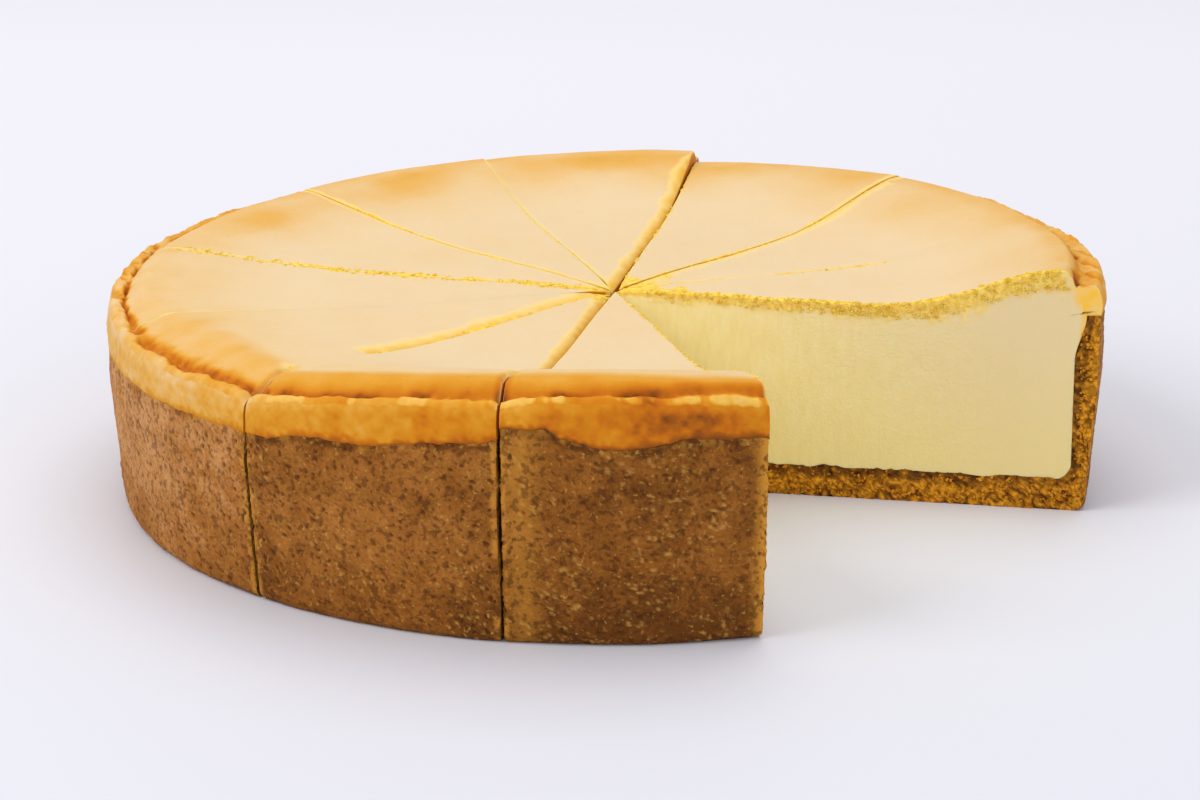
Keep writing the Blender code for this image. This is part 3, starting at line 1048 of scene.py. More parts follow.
def gold_and_edge_highlight(found, points, angle, below_top, near, facing_out):
    """How golden the tin side is: real gold in smears and at one stretch, and a painted highlight beside the
    cuts and at the open corner.
    """
    # Beside the cuts the gold is a painted highlight along the edge.
    gold = (1.0 - fade_in(np.minimum(*near), 0.7, 1.3)) * ease(0.6 + soft_noise(points, 2.5, 96))
    blotch = ease((soft_noise(points, 2.6, 98) + 0.8 * soft_noise(points, 1.0, 99) - 0.1) / 0.5)
    gold = np.maximum(gold, 0.7 * (1.0 - ease(below_top / 3.2)) * blotch)
    if edge_of(found["number"], "end")["open"]:
        # At the open cut's corner a wider painted highlight.
        gold = np.maximum(gold, CORNER_HIGHLIGHT * (1.0 - ease(near[1] / CORNER_HIGHLIGHT_WIDTH)))
    stretch = STRETCH_GOLD * (1.0 - ease(np.abs(once_round(angle) - GOLDEN_AT) / 3.0))
    return np.maximum(gold * facing_out, stretch)


def soaked_crumbs(points, radius, height, on_wall, from_filling):
    """How far the filling soaked into the crumbs of a cut face, from 0 to 1."""
    deep = np.where(on_wall, 2.1 + 0.8 * fade_in(height, 25.0, 15.0), 2.2)
    soaked = 1.0 - ease((from_filling - deep - 0.8 * soft_noise(points, 3.0, 95)) / 0.9)
    dries = np.where(on_wall, 0.85, 1.0 - 0.45 * fade_in(radius, 92.0, 15.0))
    return soaked * dries * ease(0.88 + 0.7 * soft_noise(points, 1.6, 100))


# %% Bend a block into crust
CRUST_LAP = 0.15
SHUT_FACE_SHADE = 0.75


def crust_section(found, a, b, c, along):
    """Where a plate's vertices stand in the crust's section, before any crumbs."""
    stretch = spread_cells(a, along, (0.0, 1.0, 2.0, 3.0))
    along_base = np.clip(stretch, 0.0, 1.0)
    turn = np.clip(stretch - 1.0, 0.0, 1.0) * math.pi / 2
    up_wall = np.clip(stretch - 2.0, 0.0, 1.0)
    angle = angle_at(found, b)
    top = along_the_rim(found, b)[1] + CRUST_LAP

    tin_radius = (CAKE_RADIUS - FOOT_INSET - FOOT_ROUND) * along_base + FOOT_ROUND * np.sin(turn)
    tin_height = FOOT_ROUND * (1.0 - np.cos(turn)) + (top - FOOT_ROUND) * up_wall
    leaning = np.clip((tin_height - FOOT_ROUND) / (STRAIGHT_WALL_FROM - FOOT_ROUND), 0.0, 1.0)
    tin_radius = tin_radius + FOOT_INSET * leaning
    inner_radius = (INNER_WALL - INNER_CORNER) * along_base + INNER_CORNER * np.sin(turn)
    waver = seam_waver(rim_points(angle, inner_radius, 0.0)) * ease(along_base / 0.05)
    base = BASE_TOP + CRUST_LAP + waver * (1.0 - up_wall)
    inner_height = base + INNER_CORNER * (1.0 - np.cos(turn)) + (top - base - INNER_CORNER) * up_wall
    inner_radius = np.where(up_wall > 0.0, wall_inside(inner_height, top), inner_radius)
    radius = tin_radius + (inner_radius - tin_radius) * c
    height = tin_height + (inner_height - tin_height) * c
    return radius, height, angle, top, along_base, turn, up_wall


def bend_crust(found, data, along):
    """Places a block's vertices as one slice's crust, and says what each spot looks like."""
    a, b, c = shares_of(data)
    on_tin_side = c < TINY
    radius, height, angle, top, along_base, turn, up_wall = crust_section(found, a, b, c, along)
    points = rim_points(angle, radius, height)
    stands, pit, fleck = tin_side_look(points)
    stands = shared_lumps(points) + stands * ease((top - height) / 1.2)
    near = cut_distances(found, radius * found["reach"] / CAKE_RADIUS, angle)
    chip = 1.0 - np.clip(np.minimum(*near) / (0.9 + 0.5 * soft_noise(points, 2.5, 87)), 0.0, 1.0)
    stands = stands - 0.45 * chip**2
    facing_out = np.sin(turn) * on_tin_side
    facing_down = np.cos(turn) * on_tin_side
    radius = radius + stands * facing_out
    height = np.maximum(height - (0.6 * stands + 0.15) * facing_down, 0.0)
    height = np.where(on_tin_side & (along_base < 1.0), 0.5 * pit, height)

    seen = 0.5 + 0.5 * facing_out
    pit, fleck = pit * seen, fleck * seen
    cut = np.zeros(len(a))
    level = level_places(found, radius, angle)
    cut_stands, shaded_crevice, pale = cut_crumb_look(points)
    cut_stands = cut_stands * ease(radius / 5.0)
    for side, on_face in zip(SIDES, (b < TINY, b > 1.0 - TINY)):
        level = level - into_slice(found, side)[:, None] * np.where(on_face, cut_stands, 0.0)
        # A closed cut's crust face is painted dark as the shade in its narrow gap.
        shut = 0.0 if edge_of(found["number"], side)["open"] else SHUT_FACE_SHADE
        pit = np.where(on_face, np.maximum(shaded_crevice * (1.0 - 0.25 * up_wall), shut), pit)
        fleck = np.where(on_face, pale + 0.3 * ease(up_wall / 0.1), fleck)
        cut = np.where(on_face & ~(on_tin_side & (along_base == 1.0)), 1.0, cut)
    on_wall = up_wall > 0.0
    from_filling = np.where(on_wall, (1.0 - c) * WALL_THICKNESS, (1.0 - c) * BASE_TOP)
    soaked = cut * soaked_crumbs(points, radius, height, on_wall, from_filling)
    gold = (1.0 - cut) * gold_and_edge_highlight(found, points, angle, top - height, near, facing_out)
    toast = crumb_toast_and_shade(points, angle, height, top, cut)
    points = np.stack([level[0], level[1], height], axis=1)
    return points, {"toast": toast, "pit": pit, "fleck": fleck, "cut": cut, "soaked": soaked, "gold": gold}


# %% [markdown]
# ## Shared effects for the materials
# Two effects are needed by more than one finish, so each is a node group: speckle, small spots of
# chosen size that cover a chosen share of a surface, and grain, a fine bump. Both read the object's
# own coordinates, so they stay on the cake in every view.

# %% Node group helpers
def new_group(name, inputs, outputs):
    """An empty shader node group with named sockets: (kind, name, value) in, (kind, name) out."""
    group = bpy.data.node_groups.new(name, "ShaderNodeTree")
    for kind, label, value in inputs:
        socket = group.interface.new_socket(label, in_out="INPUT", socket_type=kind)
        socket.default_value = value
    for kind, label in outputs:
        group.interface.new_socket(label, in_out="OUTPUT", socket_type=kind)
    enter = group.nodes.new("NodeGroupInput")
    leave = group.nodes.new("NodeGroupOutput")
    return group, enter, leave


def math_node(nodes, links, operation, first, second=0.0, clamp=False):
    """A Math node fed by sockets or plain numbers; returns its output."""
    node = nodes.new("ShaderNodeMath")
    node.operation = operation
    node.use_clamp = clamp
    for socket, value in zip(node.inputs, (first, second)):
        if isinstance(value, (int, float)):
            socket.default_value = value
        else:
            links.new(value, socket)
    return node.outputs[0]


def stirred(nodes, links, value, texture, strength, clamp=False):
    """A value that a texture moves up and down, by at most half the strength either way."""
    swing = math_node(nodes, links, "SUBTRACT", texture, 0.5)
    swing = math_node(nodes, links, "MULTIPLY", swing, strength)
    return math_node(nodes, links, "ADD", value, swing, clamp)


def ramp_node(nodes, links, value, stops):
    """A colour ramp over a value, from (position, colour) stops; returns its colour."""
    node = nodes.new("ShaderNodeValToRGB")
    ramp = node.color_ramp
    ramp.elements[0].position, ramp.elements[0].color = stops[0][0], (*stops[0][1], 1.0)
    ramp.elements[1].position, ramp.elements[1].color = stops[-1][0], (*stops[-1][1], 1.0)
    for position, colour in stops[1:-1]:
        ramp.elements.new(position).color = (*colour, 1.0)
    links.new(value, node.inputs["Fac"])
    return node.outputs["Color"]


def mix_node(nodes, links, share, under, over):
    """Mixes two colours, each a socket or a plain colour; returns the result."""
    node = nodes.new("ShaderNodeMix")
    node.data_type = "RGBA"
    for socket, value in ((node.inputs[0], share), (node.inputs[6], under), (node.inputs[7], over)):
        if isinstance(value, tuple):
            socket.default_value = (*value, 1.0)
        else:
            links.new(value, socket)
    return node.outputs[2]


def noise_node(nodes, links, place, size, detail=3.0, roughness=0.55, stretch=(1.0, 1.0, 1.0)):
    """Noise whose lumps are about one size, in millimetres, across; returns its value."""
    mapping = nodes.new("ShaderNodeMapping")
    mapping.inputs["Scale"].default_value = stretch
    links.new(place, mapping.inputs["Vector"])
    noise = nodes.new("ShaderNodeTexNoise")
    noise.inputs["Scale"].default_value = 1.0 / (size * MM)
    noise.inputs["Detail"].default_value = detail
    noise.inputs["Roughness"].default_value = roughness
    links.new(mapping.outputs["Vector"], noise.inputs["Vector"])
    return noise.outputs["Fac"]


# %% Speckle and grain groups
# Cover 0 puts the limit above nearly all of the noise, and cover 1 below nearly all of it.
SPOTS_NONE, SPOTS_RANGE = 0.78, 0.56


def sized_noise(group, enter, detail, roughness):
    """Noise inside a group, at the group's own place and size; returns its value."""
    scale = math_node(group.nodes, group.links, "DIVIDE", 1.0 / MM, enter.outputs["Size in mm"])
    noise = group.nodes.new("ShaderNodeTexNoise")
    noise.inputs["Detail"].default_value = detail
    noise.inputs["Roughness"].default_value = roughness
    group.links.new(enter.outputs["Place"], noise.inputs["Vector"])
    group.links.new(scale, noise.inputs["Scale"])
    return noise.outputs["Fac"]


def make_speckle():
    """Spots of one size that cover a share of the surface."""
    inputs = (
        ("NodeSocketVector", "Place", (0.0, 0.0, 0.0)),
        ("NodeSocketFloat", "Size in mm", 1.0),
        ("NodeSocketFloat", "Cover", 0.3),
        ("NodeSocketFloat", "Softness", 0.1),
    )
    group, enter, leave = new_group("speckle", inputs, (("NodeSocketFloat", "Spots"),))
    nodes, links = group.nodes, group.links
    noise = sized_noise(group, enter, 2.0, 0.5)
    covered = math_node(nodes, links, "MULTIPLY", enter.outputs["Cover"], SPOTS_RANGE)
    limit = math_node(nodes, links, "SUBTRACT", SPOTS_NONE, covered)
    above = math_node(nodes, links, "SUBTRACT", noise, limit)
    spots = math_node(nodes, links, "DIVIDE", above, enter.outputs["Softness"], clamp=True)
    links.new(spots, leave.inputs["Spots"])
    return group


def make_grain():
    """A fine bump from noise of one size."""
    inputs = (
        ("NodeSocketVector", "Place", (0.0, 0.0, 0.0)),
        ("NodeSocketFloat", "Size in mm", 1.0),
        ("NodeSocketFloat", "Height in mm", 0.1),
    )
    group, enter, leave = new_group("grain", inputs, (("NodeSocketVector", "Normal"),))
    nodes, links = group.nodes, group.links
    noise = sized_noise(group, enter, 4.0, 0.6)
    bump = nodes.new("ShaderNodeBump")
    bump.inputs["Distance"].default_value = MM
    height = math_node(nodes, links, "MULTIPLY", noise, enter.outputs["Height in mm"])
    links.new(height, bump.inputs["Height"])
    links.new(bump.outputs["Normal"], leave.inputs["Normal"])
    return group


SPECKLE, GRAIN = make_speckle(), make_grain()
print("node groups:", SPECKLE.name, "and", GRAIN.name)

# %% Start a material
def use_group(material, group, place, **values):
    """Places a group in a material, its inputs set by name with spaces written as underscores."""
    node = material.node_tree.nodes.new("ShaderNodeGroup")
    node.node_tree = group
    material.node_tree.links.new(place, node.inputs["Place"])
    for label, value in values.items():
        node.inputs[label.replace("_", " ")].default_value = value
    return node


def start_material(name, roughness, subsurface=0.0, reach=1.0):
    """A new material with its own coordinates and a Principled shader; returns what is used next."""
    material = bpy.data.materials.new(name)
    material.use_nodes = True
    nodes = material.node_tree.nodes
    shader = nodes["Principled BSDF"]
    shader.inputs["Roughness"].default_value = roughness
    shader.inputs["IOR"].default_value = 1.4
    shader.inputs["Specular IOR Level"].default_value = 0.22
    shader.inputs["Subsurface Weight"].default_value = subsurface
    shader.inputs["Subsurface Radius"].default_value = (1.0, 0.6, 0.3)
    shader.inputs["Subsurface Scale"].default_value = reach * MM
    place = nodes.new("ShaderNodeTexCoord").outputs["Object"]
    return material, shader, place


def attribute_value(material, name, strength=1.0, clamp=False):
    """The value of one of a mesh's own attributes, times a strength."""
    nodes, links = material.node_tree.nodes, material.node_tree.links
    node = nodes.new("ShaderNodeAttribute")
    node.attribute_name = name
    if strength == 1.0:
        return node.outputs["Fac"]
    return math_node(nodes, links, "MULTIPLY", node.outputs["Fac"], strength, clamp)


# %% [markdown]
# ## The filling's finish
# The skin goes from pale peach in the middle to gold at the crest and brown in the cracks, where
# burnt skin and painted shade meet. That is one ramp over the toast attribute, which also carries
# the painted shade of grooves, creases and closed cuts. Cut faces show the inside instead, a cooler
# cream that turns darker and duller towards the rim and darker and yellower at its foot, and torn
# spots show a deep yellow crumb. The grain is deeper on the granular patch of the open face, which
# is found by its distance from one point.

# %% Filling colours
# The darkest stops serve burnt skin and painted shade alike.
SKIN_RAMP = (
    (0.00, (0.79, 0.60, 0.355)),
    (0.12, (0.77, 0.570, 0.320)),
    (0.26, (0.76, 0.510, 0.230)),
    (0.40, (0.74, 0.400, 0.085)),
    (0.52, (0.69, 0.310, 0.020)),
    (0.63, (0.64, 0.230, 0.004)),
    (0.75, (0.54, 0.145, 0.001)),
    (0.87, (0.23, 0.058, 0.003)),
    (1.00, (0.10, 0.026, 0.004)),
)
INSIDE_RAMP = ((0.34, (0.92, 0.745, 0.30)), (0.64, (0.98, 0.81, 0.40)))
INSIDE_OUTER = (0.775, 0.615, 0.340)
INSIDE_LOW = (0.72, 0.60, 0.11)
INSIDE_BAKED = (0.92, 0.53, 0.055)
TORN_RAMP = ((0.38, (0.80, 0.46, 0.030)), (0.62, (0.95, 0.68, 0.105)))
ROLLED_RAMP = ((0.20, (0.90, 0.655, 0.23)), (0.95, (0.80, 0.435, 0.045)))
OUTER_FROM, OUTER_OVER = 30.0 * MM, 75.0 * MM
LOW_FROM, LOW_OVER, LOW_MOST = 50.0 * MM, 35.0 * MM, 0.3


def outer_share(nodes, links, place):
    """0 in the middle of the cake and 1 near its rim, where a cut face turns darker and duller."""
    level = nodes.new("ShaderNodeMapping")
    level.inputs["Scale"].default_value = (1.0, 1.0, 0.0)
    links.new(place, level.inputs["Vector"])
    outward = nodes.new("ShaderNodeVectorMath")
    outward.operation = "LENGTH"
    links.new(level.outputs["Vector"], outward.inputs[0])
    beyond = math_node(nodes, links, "SUBTRACT", outward.outputs["Value"], OUTER_FROM)
    return math_node(nodes, links, "DIVIDE", beyond, OUTER_OVER, clamp=True)


def low_share(nodes, links, place):
    """0 near the top of a cut face and 0.3 near its foot, where it turns darker and yellower."""
    split = nodes.new("ShaderNodeSeparateXYZ")
    links.new(place, split.inputs["Vector"])
    under = math_node(nodes, links, "SUBTRACT", LOW_FROM, split.outputs["Z"])
    under = math_node(nodes, links, "DIVIDE", under, LOW_OVER, clamp=True)
    return math_node(nodes, links, "MULTIPLY", under, LOW_MOST)


def inside_colour(material, place):
    """The colour of a cut face: faint streaks, darker and duller outwards, yellower low down and baked at the
    lip.
    """
    nodes, links = material.node_tree.nodes, material.node_tree.links
    streaks = noise_node(nodes, links, place, 2.2, detail=5.0, roughness=0.7, stretch=(1.0, 1.0, 0.30))
    colour = ramp_node(nodes, links, streaks, INSIDE_RAMP)
    colour = mix_node(nodes, links, outer_share(nodes, links, place), colour, INSIDE_OUTER)
    colour = mix_node(nodes, links, low_share(nodes, links, place), colour, INSIDE_LOW)
    return mix_node(nodes, links, attribute_value(material, "toast"), colour, INSIDE_BAKED)


# %% The filling's material
USUAL_GRAIN, GRANULAR_GRAIN = 0.07, 0.28
GRANULAR_PLACE = (0.072, -0.019, 0.029)
GRANULAR_REACH, GRANULAR_FADE = 40.0 * MM, 25.0 * MM


def filling_grain_height(material, place):
    """How high the filling's grain is, in millimetres: more on a cut face's granular patch."""
    nodes, links = material.node_tree.nodes, material.node_tree.links
    away = nodes.new("ShaderNodeVectorMath")
    away.operation = "DISTANCE"
    away.inputs[1].default_value = GRANULAR_PLACE
    links.new(place, away.inputs[0])
    granular = math_node(nodes, links, "SUBTRACT", GRANULAR_REACH, away.outputs["Value"])
    granular = math_node(nodes, links, "DIVIDE", granular, GRANULAR_FADE, clamp=True)
    on_face = attribute_value(material, "inside", GRANULAR_GRAIN)
    granular = math_node(nodes, links, "MULTIPLY", granular, on_face)
    return math_node(nodes, links, "ADD", granular, USUAL_GRAIN)


def make_filling():
    """Baked batter: skin by its toast and painted shade, cut faces by the inside, torn crumb on top."""
    material, shader, place = start_material("baked_filling", 0.66, subsurface=0.25, reach=3.0)
    nodes, links = material.node_tree.nodes, material.node_tree.links
    drift = noise_node(nodes, links, place, 9.0)
    fine = noise_node(nodes, links, place, 1.4, detail=4.0)
    toast = stirred(nodes, links, attribute_value(material, "toast"), drift, 0.10)
    toast = stirred(nodes, links, toast, fine, 0.06, clamp=True)
    skin = ramp_node(nodes, links, toast, SKIN_RAMP)
    rolled = ramp_node(nodes, links, attribute_value(material, "rolled"), ROLLED_RAMP)
    skin = mix_node(nodes, links, attribute_value(material, "rolled", 2.6, clamp=True), skin, rolled)
    inside = inside_colour(material, place)
    colour = mix_node(nodes, links, attribute_value(material, "inside"), skin, inside)
    torn = ramp_node(nodes, links, fine, TORN_RAMP)
    colour = mix_node(nodes, links, attribute_value(material, "torn"), colour, torn)
    links.new(colour, shader.inputs["Base Color"])
    grain = use_group(material, GRAIN, place, Size_in_mm=0.9)
    links.new(filling_grain_height(material, place), grain.inputs["Height in mm"])
    links.new(grain.outputs["Normal"], shader.inputs["Normal"])
    return material


# %% [markdown]
# ## The crust's finish
# Pressed against the tin the crumbs browned evenly, with pale flecks where a crumb caught no heat,
# and their pits are painted darker as shade. Cut crumb is more golden, with painted shade in its
# crevices, and dark where the filling soaked in.

# %% Crust colours
TIN_SIDE_RAMP = (
    (0.00, (0.61, 0.295, 0.105)),
    (0.35, (0.40, 0.148, 0.024)),
    (0.70, (0.25, 0.083, 0.008)),
    (1.00, (0.130, 0.040, 0.003)),
)
PIT_SHADE_AND_SPOT_BROWN = (0.060, 0.015, 0.002)
FLECK_GOLD = (0.55, 0.29, 0.06)
CUT_RAMP = (
    (0.38, (0.10, 0.026, 0.001)),
    (0.50, (0.37, 0.118, 0.001)),
    (0.72, (0.74, 0.315, 0.012)),
)
SOAKED_BROWN = (0.11, 0.032, 0.002)
SMEAR_GOLD_AND_EDGE_HIGHLIGHT = (0.62, 0.27, 0.030)


def shifted(material, place):
    """The same coordinates moved aside, so that a second pattern of one kind falls elsewhere."""
    mapping = material.node_tree.nodes.new("ShaderNodeMapping")
    mapping.inputs["Location"].default_value = (0.37, 0.11, 0.23)
    material.node_tree.links.new(place, mapping.inputs["Vector"])
    return mapping.outputs["Vector"]


def crumb_colour(material, place):
    """The crumbs' colour: the tin side by how toasted and shaded it is, its gold and painted highlight and
    its flecks, cut faces coarse and golden.
    """
    nodes, links = material.node_tree.nodes, material.node_tree.links
    drift = noise_node(nodes, links, place, 6.0, detail=4.0)
    fine = noise_node(nodes, links, place, 0.9, detail=4.0, roughness=0.65)
    toast = stirred(nodes, links, attribute_value(material, "toast"), drift, 0.7)
    toast = stirred(nodes, links, toast, fine, 0.8, clamp=True)
    side = ramp_node(nodes, links, toast, TIN_SIDE_RAMP)
    # This gold is real in smears and at one stretch, and a painted highlight beside the cuts.
    side = mix_node(nodes, links, attribute_value(material, "gold", 0.6), side, SMEAR_GOLD_AND_EDGE_HIGHLIGHT)
    side = mix_node(nodes, links, attribute_value(material, "fleck", 0.65), side, FLECK_GOLD)
    coarse = math_node(nodes, links, "ADD", attribute_value(material, "fleck", 0.35), fine)
    cut = ramp_node(nodes, links, coarse, CUT_RAMP)
    cut = mix_node(nodes, links, attribute_value(material, "soaked", 0.88), cut, SOAKED_BROWN)
    return mix_node(nodes, links, attribute_value(material, "cut"), side, cut)


# %% The crust's material
def make_crust():
    """Crumb crust: crumbs of their colour with pale glints that are partly painted highlights, dark spots,
    and pits painted dark as shade.
    """
    material, shader, place = start_material("crumb_crust", 0.78)
    nodes, links = material.node_tree.nodes, material.node_tree.links
    # The glints are pale specks in the colour: partly pale crumbs, partly painted highlights.
    glints = use_group(material, SPECKLE, place, Size_in_mm=0.95, Cover=0.27, Softness=0.07)
    on_side = math_node(nodes, links, "SUBTRACT", 1.0, attribute_value(material, "cut", 0.45))
    shine = math_node(nodes, links, "MULTIPLY", glints.outputs["Spots"], 0.50)
    shine = math_node(nodes, links, "MULTIPLY", shine, on_side)
    colour = mix_node(nodes, links, shine, crumb_colour(material, place), FLECK_GOLD)
    aside = shifted(material, place)
    spots = use_group(material, SPECKLE, aside, Size_in_mm=1.8, Cover=0.38, Softness=0.06)
    dark = math_node(nodes, links, "MULTIPLY", spots.outputs["Spots"], 0.60)
    # Pits and crevices are painted dark as shade; the speckled dark spots are the crumbs' own tone.
    dark = math_node(nodes, links, "MAXIMUM", attribute_value(material, "pit"), dark)
    dark = math_node(nodes, links, "MULTIPLY", dark, 0.85)
    colour = mix_node(nodes, links, dark, colour, PIT_SHADE_AND_SPOT_BROWN)
    links.new(colour, shader.inputs["Base Color"])
    grain = use_group(material, GRAIN, place, Size_in_mm=0.8, Height_in_mm=0.22)
    links.new(grain.outputs["Normal"], shader.inputs["Normal"])
    return material


FILLING_FINISH, CRUST_FINISH = make_filling(), make_crust()
print("finishes:", FILLING_FINISH.name, "and", CRUST_FINISH.name)

# %% [markdown]
# ## Make every slice
# The slices with an open cut face get cells there fine enough for crumbs and knife marks, and the
# front crusts and bands, which show most, get finer relief than the rest.

# %% Fine pieces for all the slices
OPEN_FILLING = {"along": (140, 50), "across": 150, "upward": (34, 6, 36)}
FRONT_FILLING = {"along": (100, 54), "across": 164, "upward": (6, 4, 36)}
USUAL_FILLING = {"along": (84, 42), "across": 100, "upward": (6, 4, 20)}
OPEN_CRUST = {"along": (200, 12, 112), "across": 104, "thick": 14}
FRONT_CRUST = {"along": (24, 10, 124), "across": 180, "thick": 4}
USUAL_CRUST = {"along": (14, 6, 76), "across": 88, "thick": 3}
OPEN_SLICES, FRONT_SLICES = ("01", "10"), ("08", "09")


def fineness(number):
    """The cell counts of one slice's filling and crust."""
    if number in OPEN_SLICES:
        return OPEN_FILLING, OPEN_CRUST
    if number in FRONT_SLICES:
        return FRONT_FILLING, FRONT_CRUST
    return USUAL_FILLING, USUAL_CRUST


def make_slice(found):
    """The fine filling and crust of one slice; returns how many triangles they take."""
    number = found["number"]
    filling_cells, crust_cells = fineness(number)
    along, across, upward = filling_cells["along"], filling_cells["across"], filling_cells["upward"]
    block = fine_block("slice_" + number + "_filling", sum(along), across, sum(upward))
    close_up(block, *bend_filling(found, block, along, upward))
    place_piece(block, number, "filling_", FILLING_FINISH)
    along, across, thick = crust_cells["along"], crust_cells["across"], crust_cells["thick"]
    plate = fine_block("slice_" + number + "_crust", sum(along), across, thick)
    close_up(plate, *bend_crust(found, plate, along))
    place_piece(plate, number, "crust_", CRUST_FINISH)
    return sum(len(face.vertices) - 2 for mesh in (block, plate) for face in mesh.polygons)


triangles = [make_slice(found) for found in slices]
print("triangles in all:", sum(triangles))

# %% [markdown]
# ## Loose crumbs
# Where the knife tore the skin, small crumbs of filling stand along the edge, and a few crumbs of
# crust cling to its cut faces. Each is a lumpy ball, half sunk in what it sits on, and each kind is
# one joined mesh.

# %% Where crumbs of filling lie
dice = np.random.default_rng(7)
CRUMBS_TO_RADIUS = 116.0


def torn_edge_spots(found, side, count):
    """Places along a torn edge of the top: (x, y, z, size) rows."""
    edge = edge_of(found["number"], side)
    radius = dice.uniform(8.0, CRUMBS_TO_RADIUS, count)
    keep = cut_through(edge, radius) > 0.5
    radius = radius[keep]
    inward = dice.uniform(0.0, max(edge["torn"], 0.3), len(radius))
    flip = 1.0 if side == "start" else -1.0
    angle = found[side] + flip * np.degrees(inward / radius)
    height = filling_top(found, radius, angle, *cut_distances(found, radius, angle))[0]
    size = dice.uniform(0.22, 0.52, len(radius))
    level = level_places(found, radius, angle)
    return np.stack([level[0], level[1], height - 0.25 * size, size], axis=1)


def torn_face_spots(found, side, count):
    """Places on an open cut face just under the skin: (x, y, z, size) rows."""
    radius = CREST_RADIUS * np.sqrt(dice.uniform(0.01, 1.03, count))
    angle = np.full(count, found[side])
    zero, far = np.zeros(count), np.full(count, 50.0)
    near = (zero, far) if side == "start" else (far, zero)
    top = filling_top(found, radius, angle, *near)[0]
    depth = (2.6 + 2.2 * fade_in(radius, 65.0, 25.0)) * dice.uniform(0.0, 1.0, count)
    size = dice.uniform(0.20, 0.46, count)
    level = level_places(found, radius, angle)
    return np.stack([level[0], level[1], top - depth, size], axis=1)


# %% Where crumbs of crust lie
def crust_face_spots(found, side, count):
    """Places on the crust's open cut face: (x, y, z, size) rows."""
    on_wall = dice.uniform(0.0, 1.0, count) < 0.28
    wall_radius = dice.uniform(INNER_WALL + 1.5, CAKE_RADIUS - 1.6, count)
    radius = np.where(on_wall, wall_radius, dice.uniform(8.0, CAKE_RADIUS - 5.0, count))
    wall_top = found["wall"][0 if side == "start" else -1, 1] - 4.0
    height = np.where(on_wall, dice.uniform(8.0, wall_top, count), dice.uniform(1.0, BASE_TOP - 0.6, count))
    leaning = np.clip((height - FOOT_ROUND) / (STRAIGHT_WALL_FROM - FOOT_ROUND), 0.0, 1.0)
    radius = radius - on_wall * FOOT_INSET * (1.0 - leaning) * 0.5
    size = dice.uniform(0.22, 0.50, count)
    level = level_places(found, radius, np.full(count, found[side])) + into_slice(found, side)[:, None] * 0.2
    return np.stack([level[0], level[1], height, size], axis=1)


# %% Join crumbs into one piece
def make_crumbs(name, spots, material, values):
    """Lumpy balls at the given spots, joined into one piece."""
    mesh = bmesh.new()
    bmesh.ops.create_icosphere(mesh, subdivisions=2, radius=1.0)
    ball = np.array([vertex.co for vertex in mesh.verts])
    faces = np.array([[vertex.index for vertex in face.verts] for face in mesh.faces])
    mesh.free()
    stretch = dice.uniform(0.75, 1.25, (len(spots), 1, 3)) * spots[:, None, 3:]
    middles = spots[:, None, :3].copy()
    middles[:, 0, 2] = np.maximum(middles[:, 0, 2], spots[:, 3] * 1.3)
    points = (middles + ball[None] * stretch).reshape(-1, 3)
    bumps = np.stack([soft_noise(points, 0.45, seed) for seed in (201, 202, 203)], axis=1)
    every_face = (faces[None] + len(ball) * np.arange(len(spots))[:, None, None]).reshape(-1, 3)
    data = bpy.data.meshes.new(name)
    data.from_pydata(((points + 0.20 * bumps) * MM).tolist(), [], every_face.tolist())
    for label, (low, high) in values.items():
        each = np.repeat(dice.uniform(low, high, len(spots)), len(ball))
        data.attributes.new(label, "FLOAT", "POINT").data.foreach_set("value", each.astype(np.float32))
    data.shade_smooth()
    data.materials.append(material)
    piece = bpy.data.objects.new(name, data)
    bpy.context.scene.collection.objects.link(piece)
    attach(piece, "root")
    print(name, len(spots), "crumbs,", len(every_face), "triangles")


# %% Scatter the crumbs
by_number = {found["number"]: found for found in slices}
CRUMBS_ALONG = {
    ("01", "start"): 150,
    ("01", "end"): 16,
    ("02", "end"): 20,
    ("03", "end"): 40,
    ("06", "end"): 120,
    ("07", "start"): 120,
    ("08", "end"): 30,
    ("10", "end"): 60,
}
FILLING_CRUMB_LOOK = {"torn": (0.85, 1.0), "toast": (0.3, 0.4), "inside": (0.0, 0.0), "rolled": (0.0, 0.0)}
CRUST_CRUMB_LOOK = {
    "toast": (0.2, 0.5),
    "pit": (0.0, 0.3),
    "fleck": (0.0, 1.0),
    "cut": (1.0, 1.0),
    "soaked": (0.0, 0.2),
    "gold": (0.0, 0.0),
}
spots = [torn_edge_spots(by_number[number], side, count) for (number, side), count in CRUMBS_ALONG.items()]
spots += [torn_face_spots(by_number["01"], "start", 420), torn_face_spots(by_number["10"], "end", 220)]
make_crumbs("filling_crumbs", np.concatenate(spots), FILLING_FINISH, FILLING_CRUMB_LOOK)
spots = [crust_face_spots(by_number["01"], "start", 420), crust_face_spots(by_number["10"], "end", 220)]
make_crumbs("crust_crumbs", np.concatenate(spots), CRUST_FINISH, CRUST_CRUMB_LOOK)

# %% [markdown]
# ## Floor, light and camera
# A pale sheet under the cake, one large soft lamp high on the left, a weaker one in front, one
# above, and a bright pale room. The camera looks from the front, a little above the rim, with a
# long lens.

# %% Floor
scene = bpy.context.scene
scene.view_settings.view_transform = "Standard"
FLOOR_REACH = 6.0
# The floor's ramp is painted shade: a little darker towards the front.
FLOOR_SHADE_RAMP = ((0.15, (0.70, 0.71, 0.765)), (1.0, (0.83, 0.815, 0.86)))


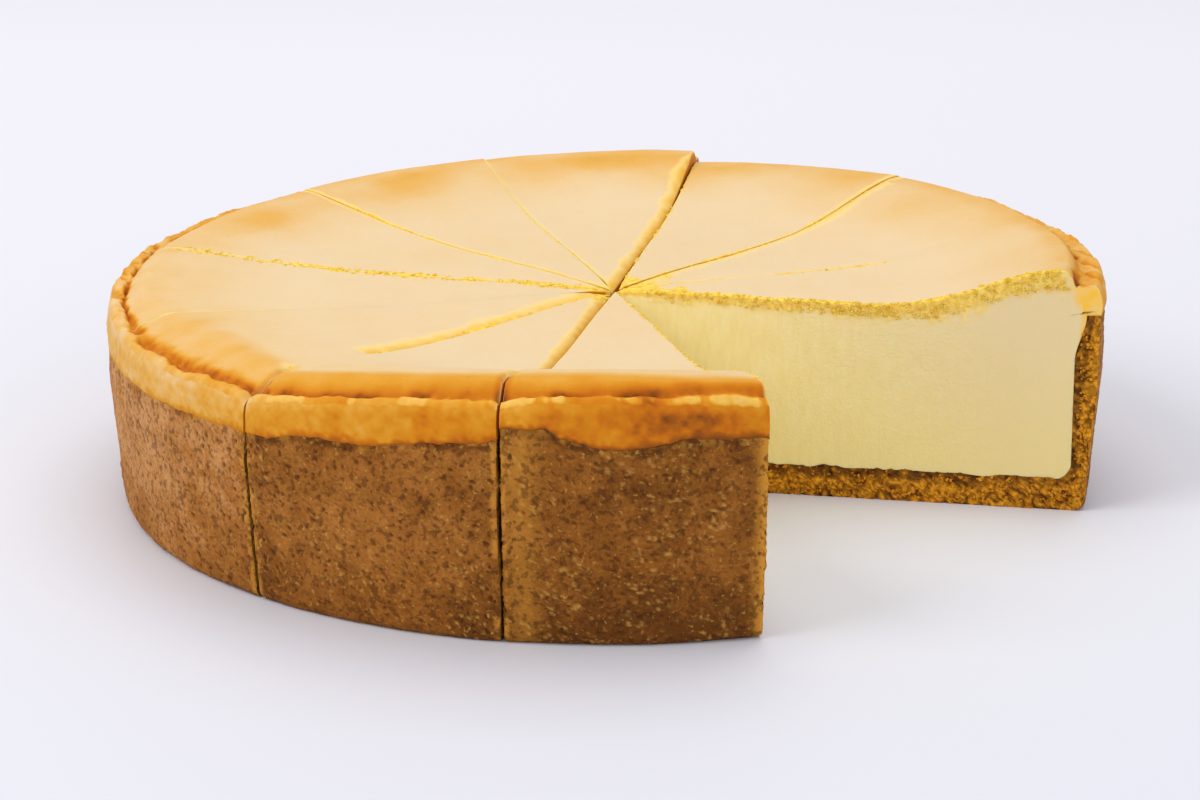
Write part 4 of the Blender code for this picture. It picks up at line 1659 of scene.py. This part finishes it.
def make_floor():
    """A wide pale floor, painted a little darker in front as shade."""
    mesh = bmesh.new()
    bmesh.ops.create_grid(mesh, x_segments=1, y_segments=1, size=FLOOR_REACH)
    data = bpy.data.meshes.new("floor")
    mesh.to_mesh(data)
    mesh.free()
    material = bpy.data.materials.new("pale_floor")
    material.use_nodes = True
    shader = material.node_tree.nodes["Principled BSDF"]
    shader.inputs["Roughness"].default_value = 0.6
    nodes, links = material.node_tree.nodes, material.node_tree.links
    split = nodes.new("ShaderNodeSeparateXYZ")
    links.new(nodes.new("ShaderNodeTexCoord").outputs["Object"], split.inputs["Vector"])
    backward = math_node(nodes, links, "ADD", split.outputs["Y"], 0.5, clamp=True)
    links.new(ramp_node(nodes, links, backward, FLOOR_SHADE_RAMP), shader.inputs["Base Color"])
    data.materials.append(material)
    floor = bpy.data.objects.new("floor", data)
    scene.collection.objects.link(floor)


make_floor()
print("floor", 2.0 * FLOOR_REACH, "metres across")

# %% Lamps, room and camera
LAMPS_AIM = (0.0, 0.0, 0.03)
CAMERA_AIM = (-0.0015, 0.0, 0.0208)
CAMERA_DISTANCE, CAMERA_PITCH = 1.035, math.radians(17.4)
ROOM_COLOUR, ROOM_STRENGTH = (0.94, 0.95, 1.0, 1.0), 0.66


def add_lamp(name, place, size, power, colour=(1.0, 1.0, 1.0)):
    """A square soft lamp that looks at the cake."""
    data = bpy.data.lights.new(name, "AREA")
    data.shape = "SQUARE"
    data.size = size
    data.energy = power
    data.color = colour
    lamp = bpy.data.objects.new(name, data)
    lamp.location = place
    lamp.rotation_euler = (Vector(LAMPS_AIM) - Vector(place)).to_track_quat("-Z", "Y").to_euler()
    scene.collection.objects.link(lamp)


def add_camera():
    """A long lens from the front, tipped down."""
    data = bpy.data.cameras.new("camera")
    data.lens = 120.0
    data.sensor_width = 36.0
    camera = bpy.data.objects.new("camera", data)
    towards = Vector((0.0, -math.cos(CAMERA_PITCH), math.sin(CAMERA_PITCH)))
    camera.location = Vector(CAMERA_AIM) + CAMERA_DISTANCE * towards
    camera.rotation_euler = (math.radians(90.0) - CAMERA_PITCH, 0.0, 0.0)
    scene.collection.objects.link(camera)
    scene.camera = camera


add_lamp("key", (-1.1, -0.5, 1.2), size=1.0, power=10.8, colour=(1.0, 0.98, 0.95))
add_lamp("top", (0.1, 0.5, 1.5), size=1.2, power=8.0)
add_lamp("front", (0.6, -1.6, 0.6), size=1.2, power=6.6)
add_camera()
world = bpy.data.worlds.new("pale_room")
scene.world = world
world.use_nodes = True
world.node_tree.nodes["Background"].inputs["Color"].default_value = ROOM_COLOUR
world.node_tree.nodes["Background"].inputs["Strength"].default_value = ROOM_STRENGTH
print("camera at", [round(number, 3) for number in scene.camera.location])
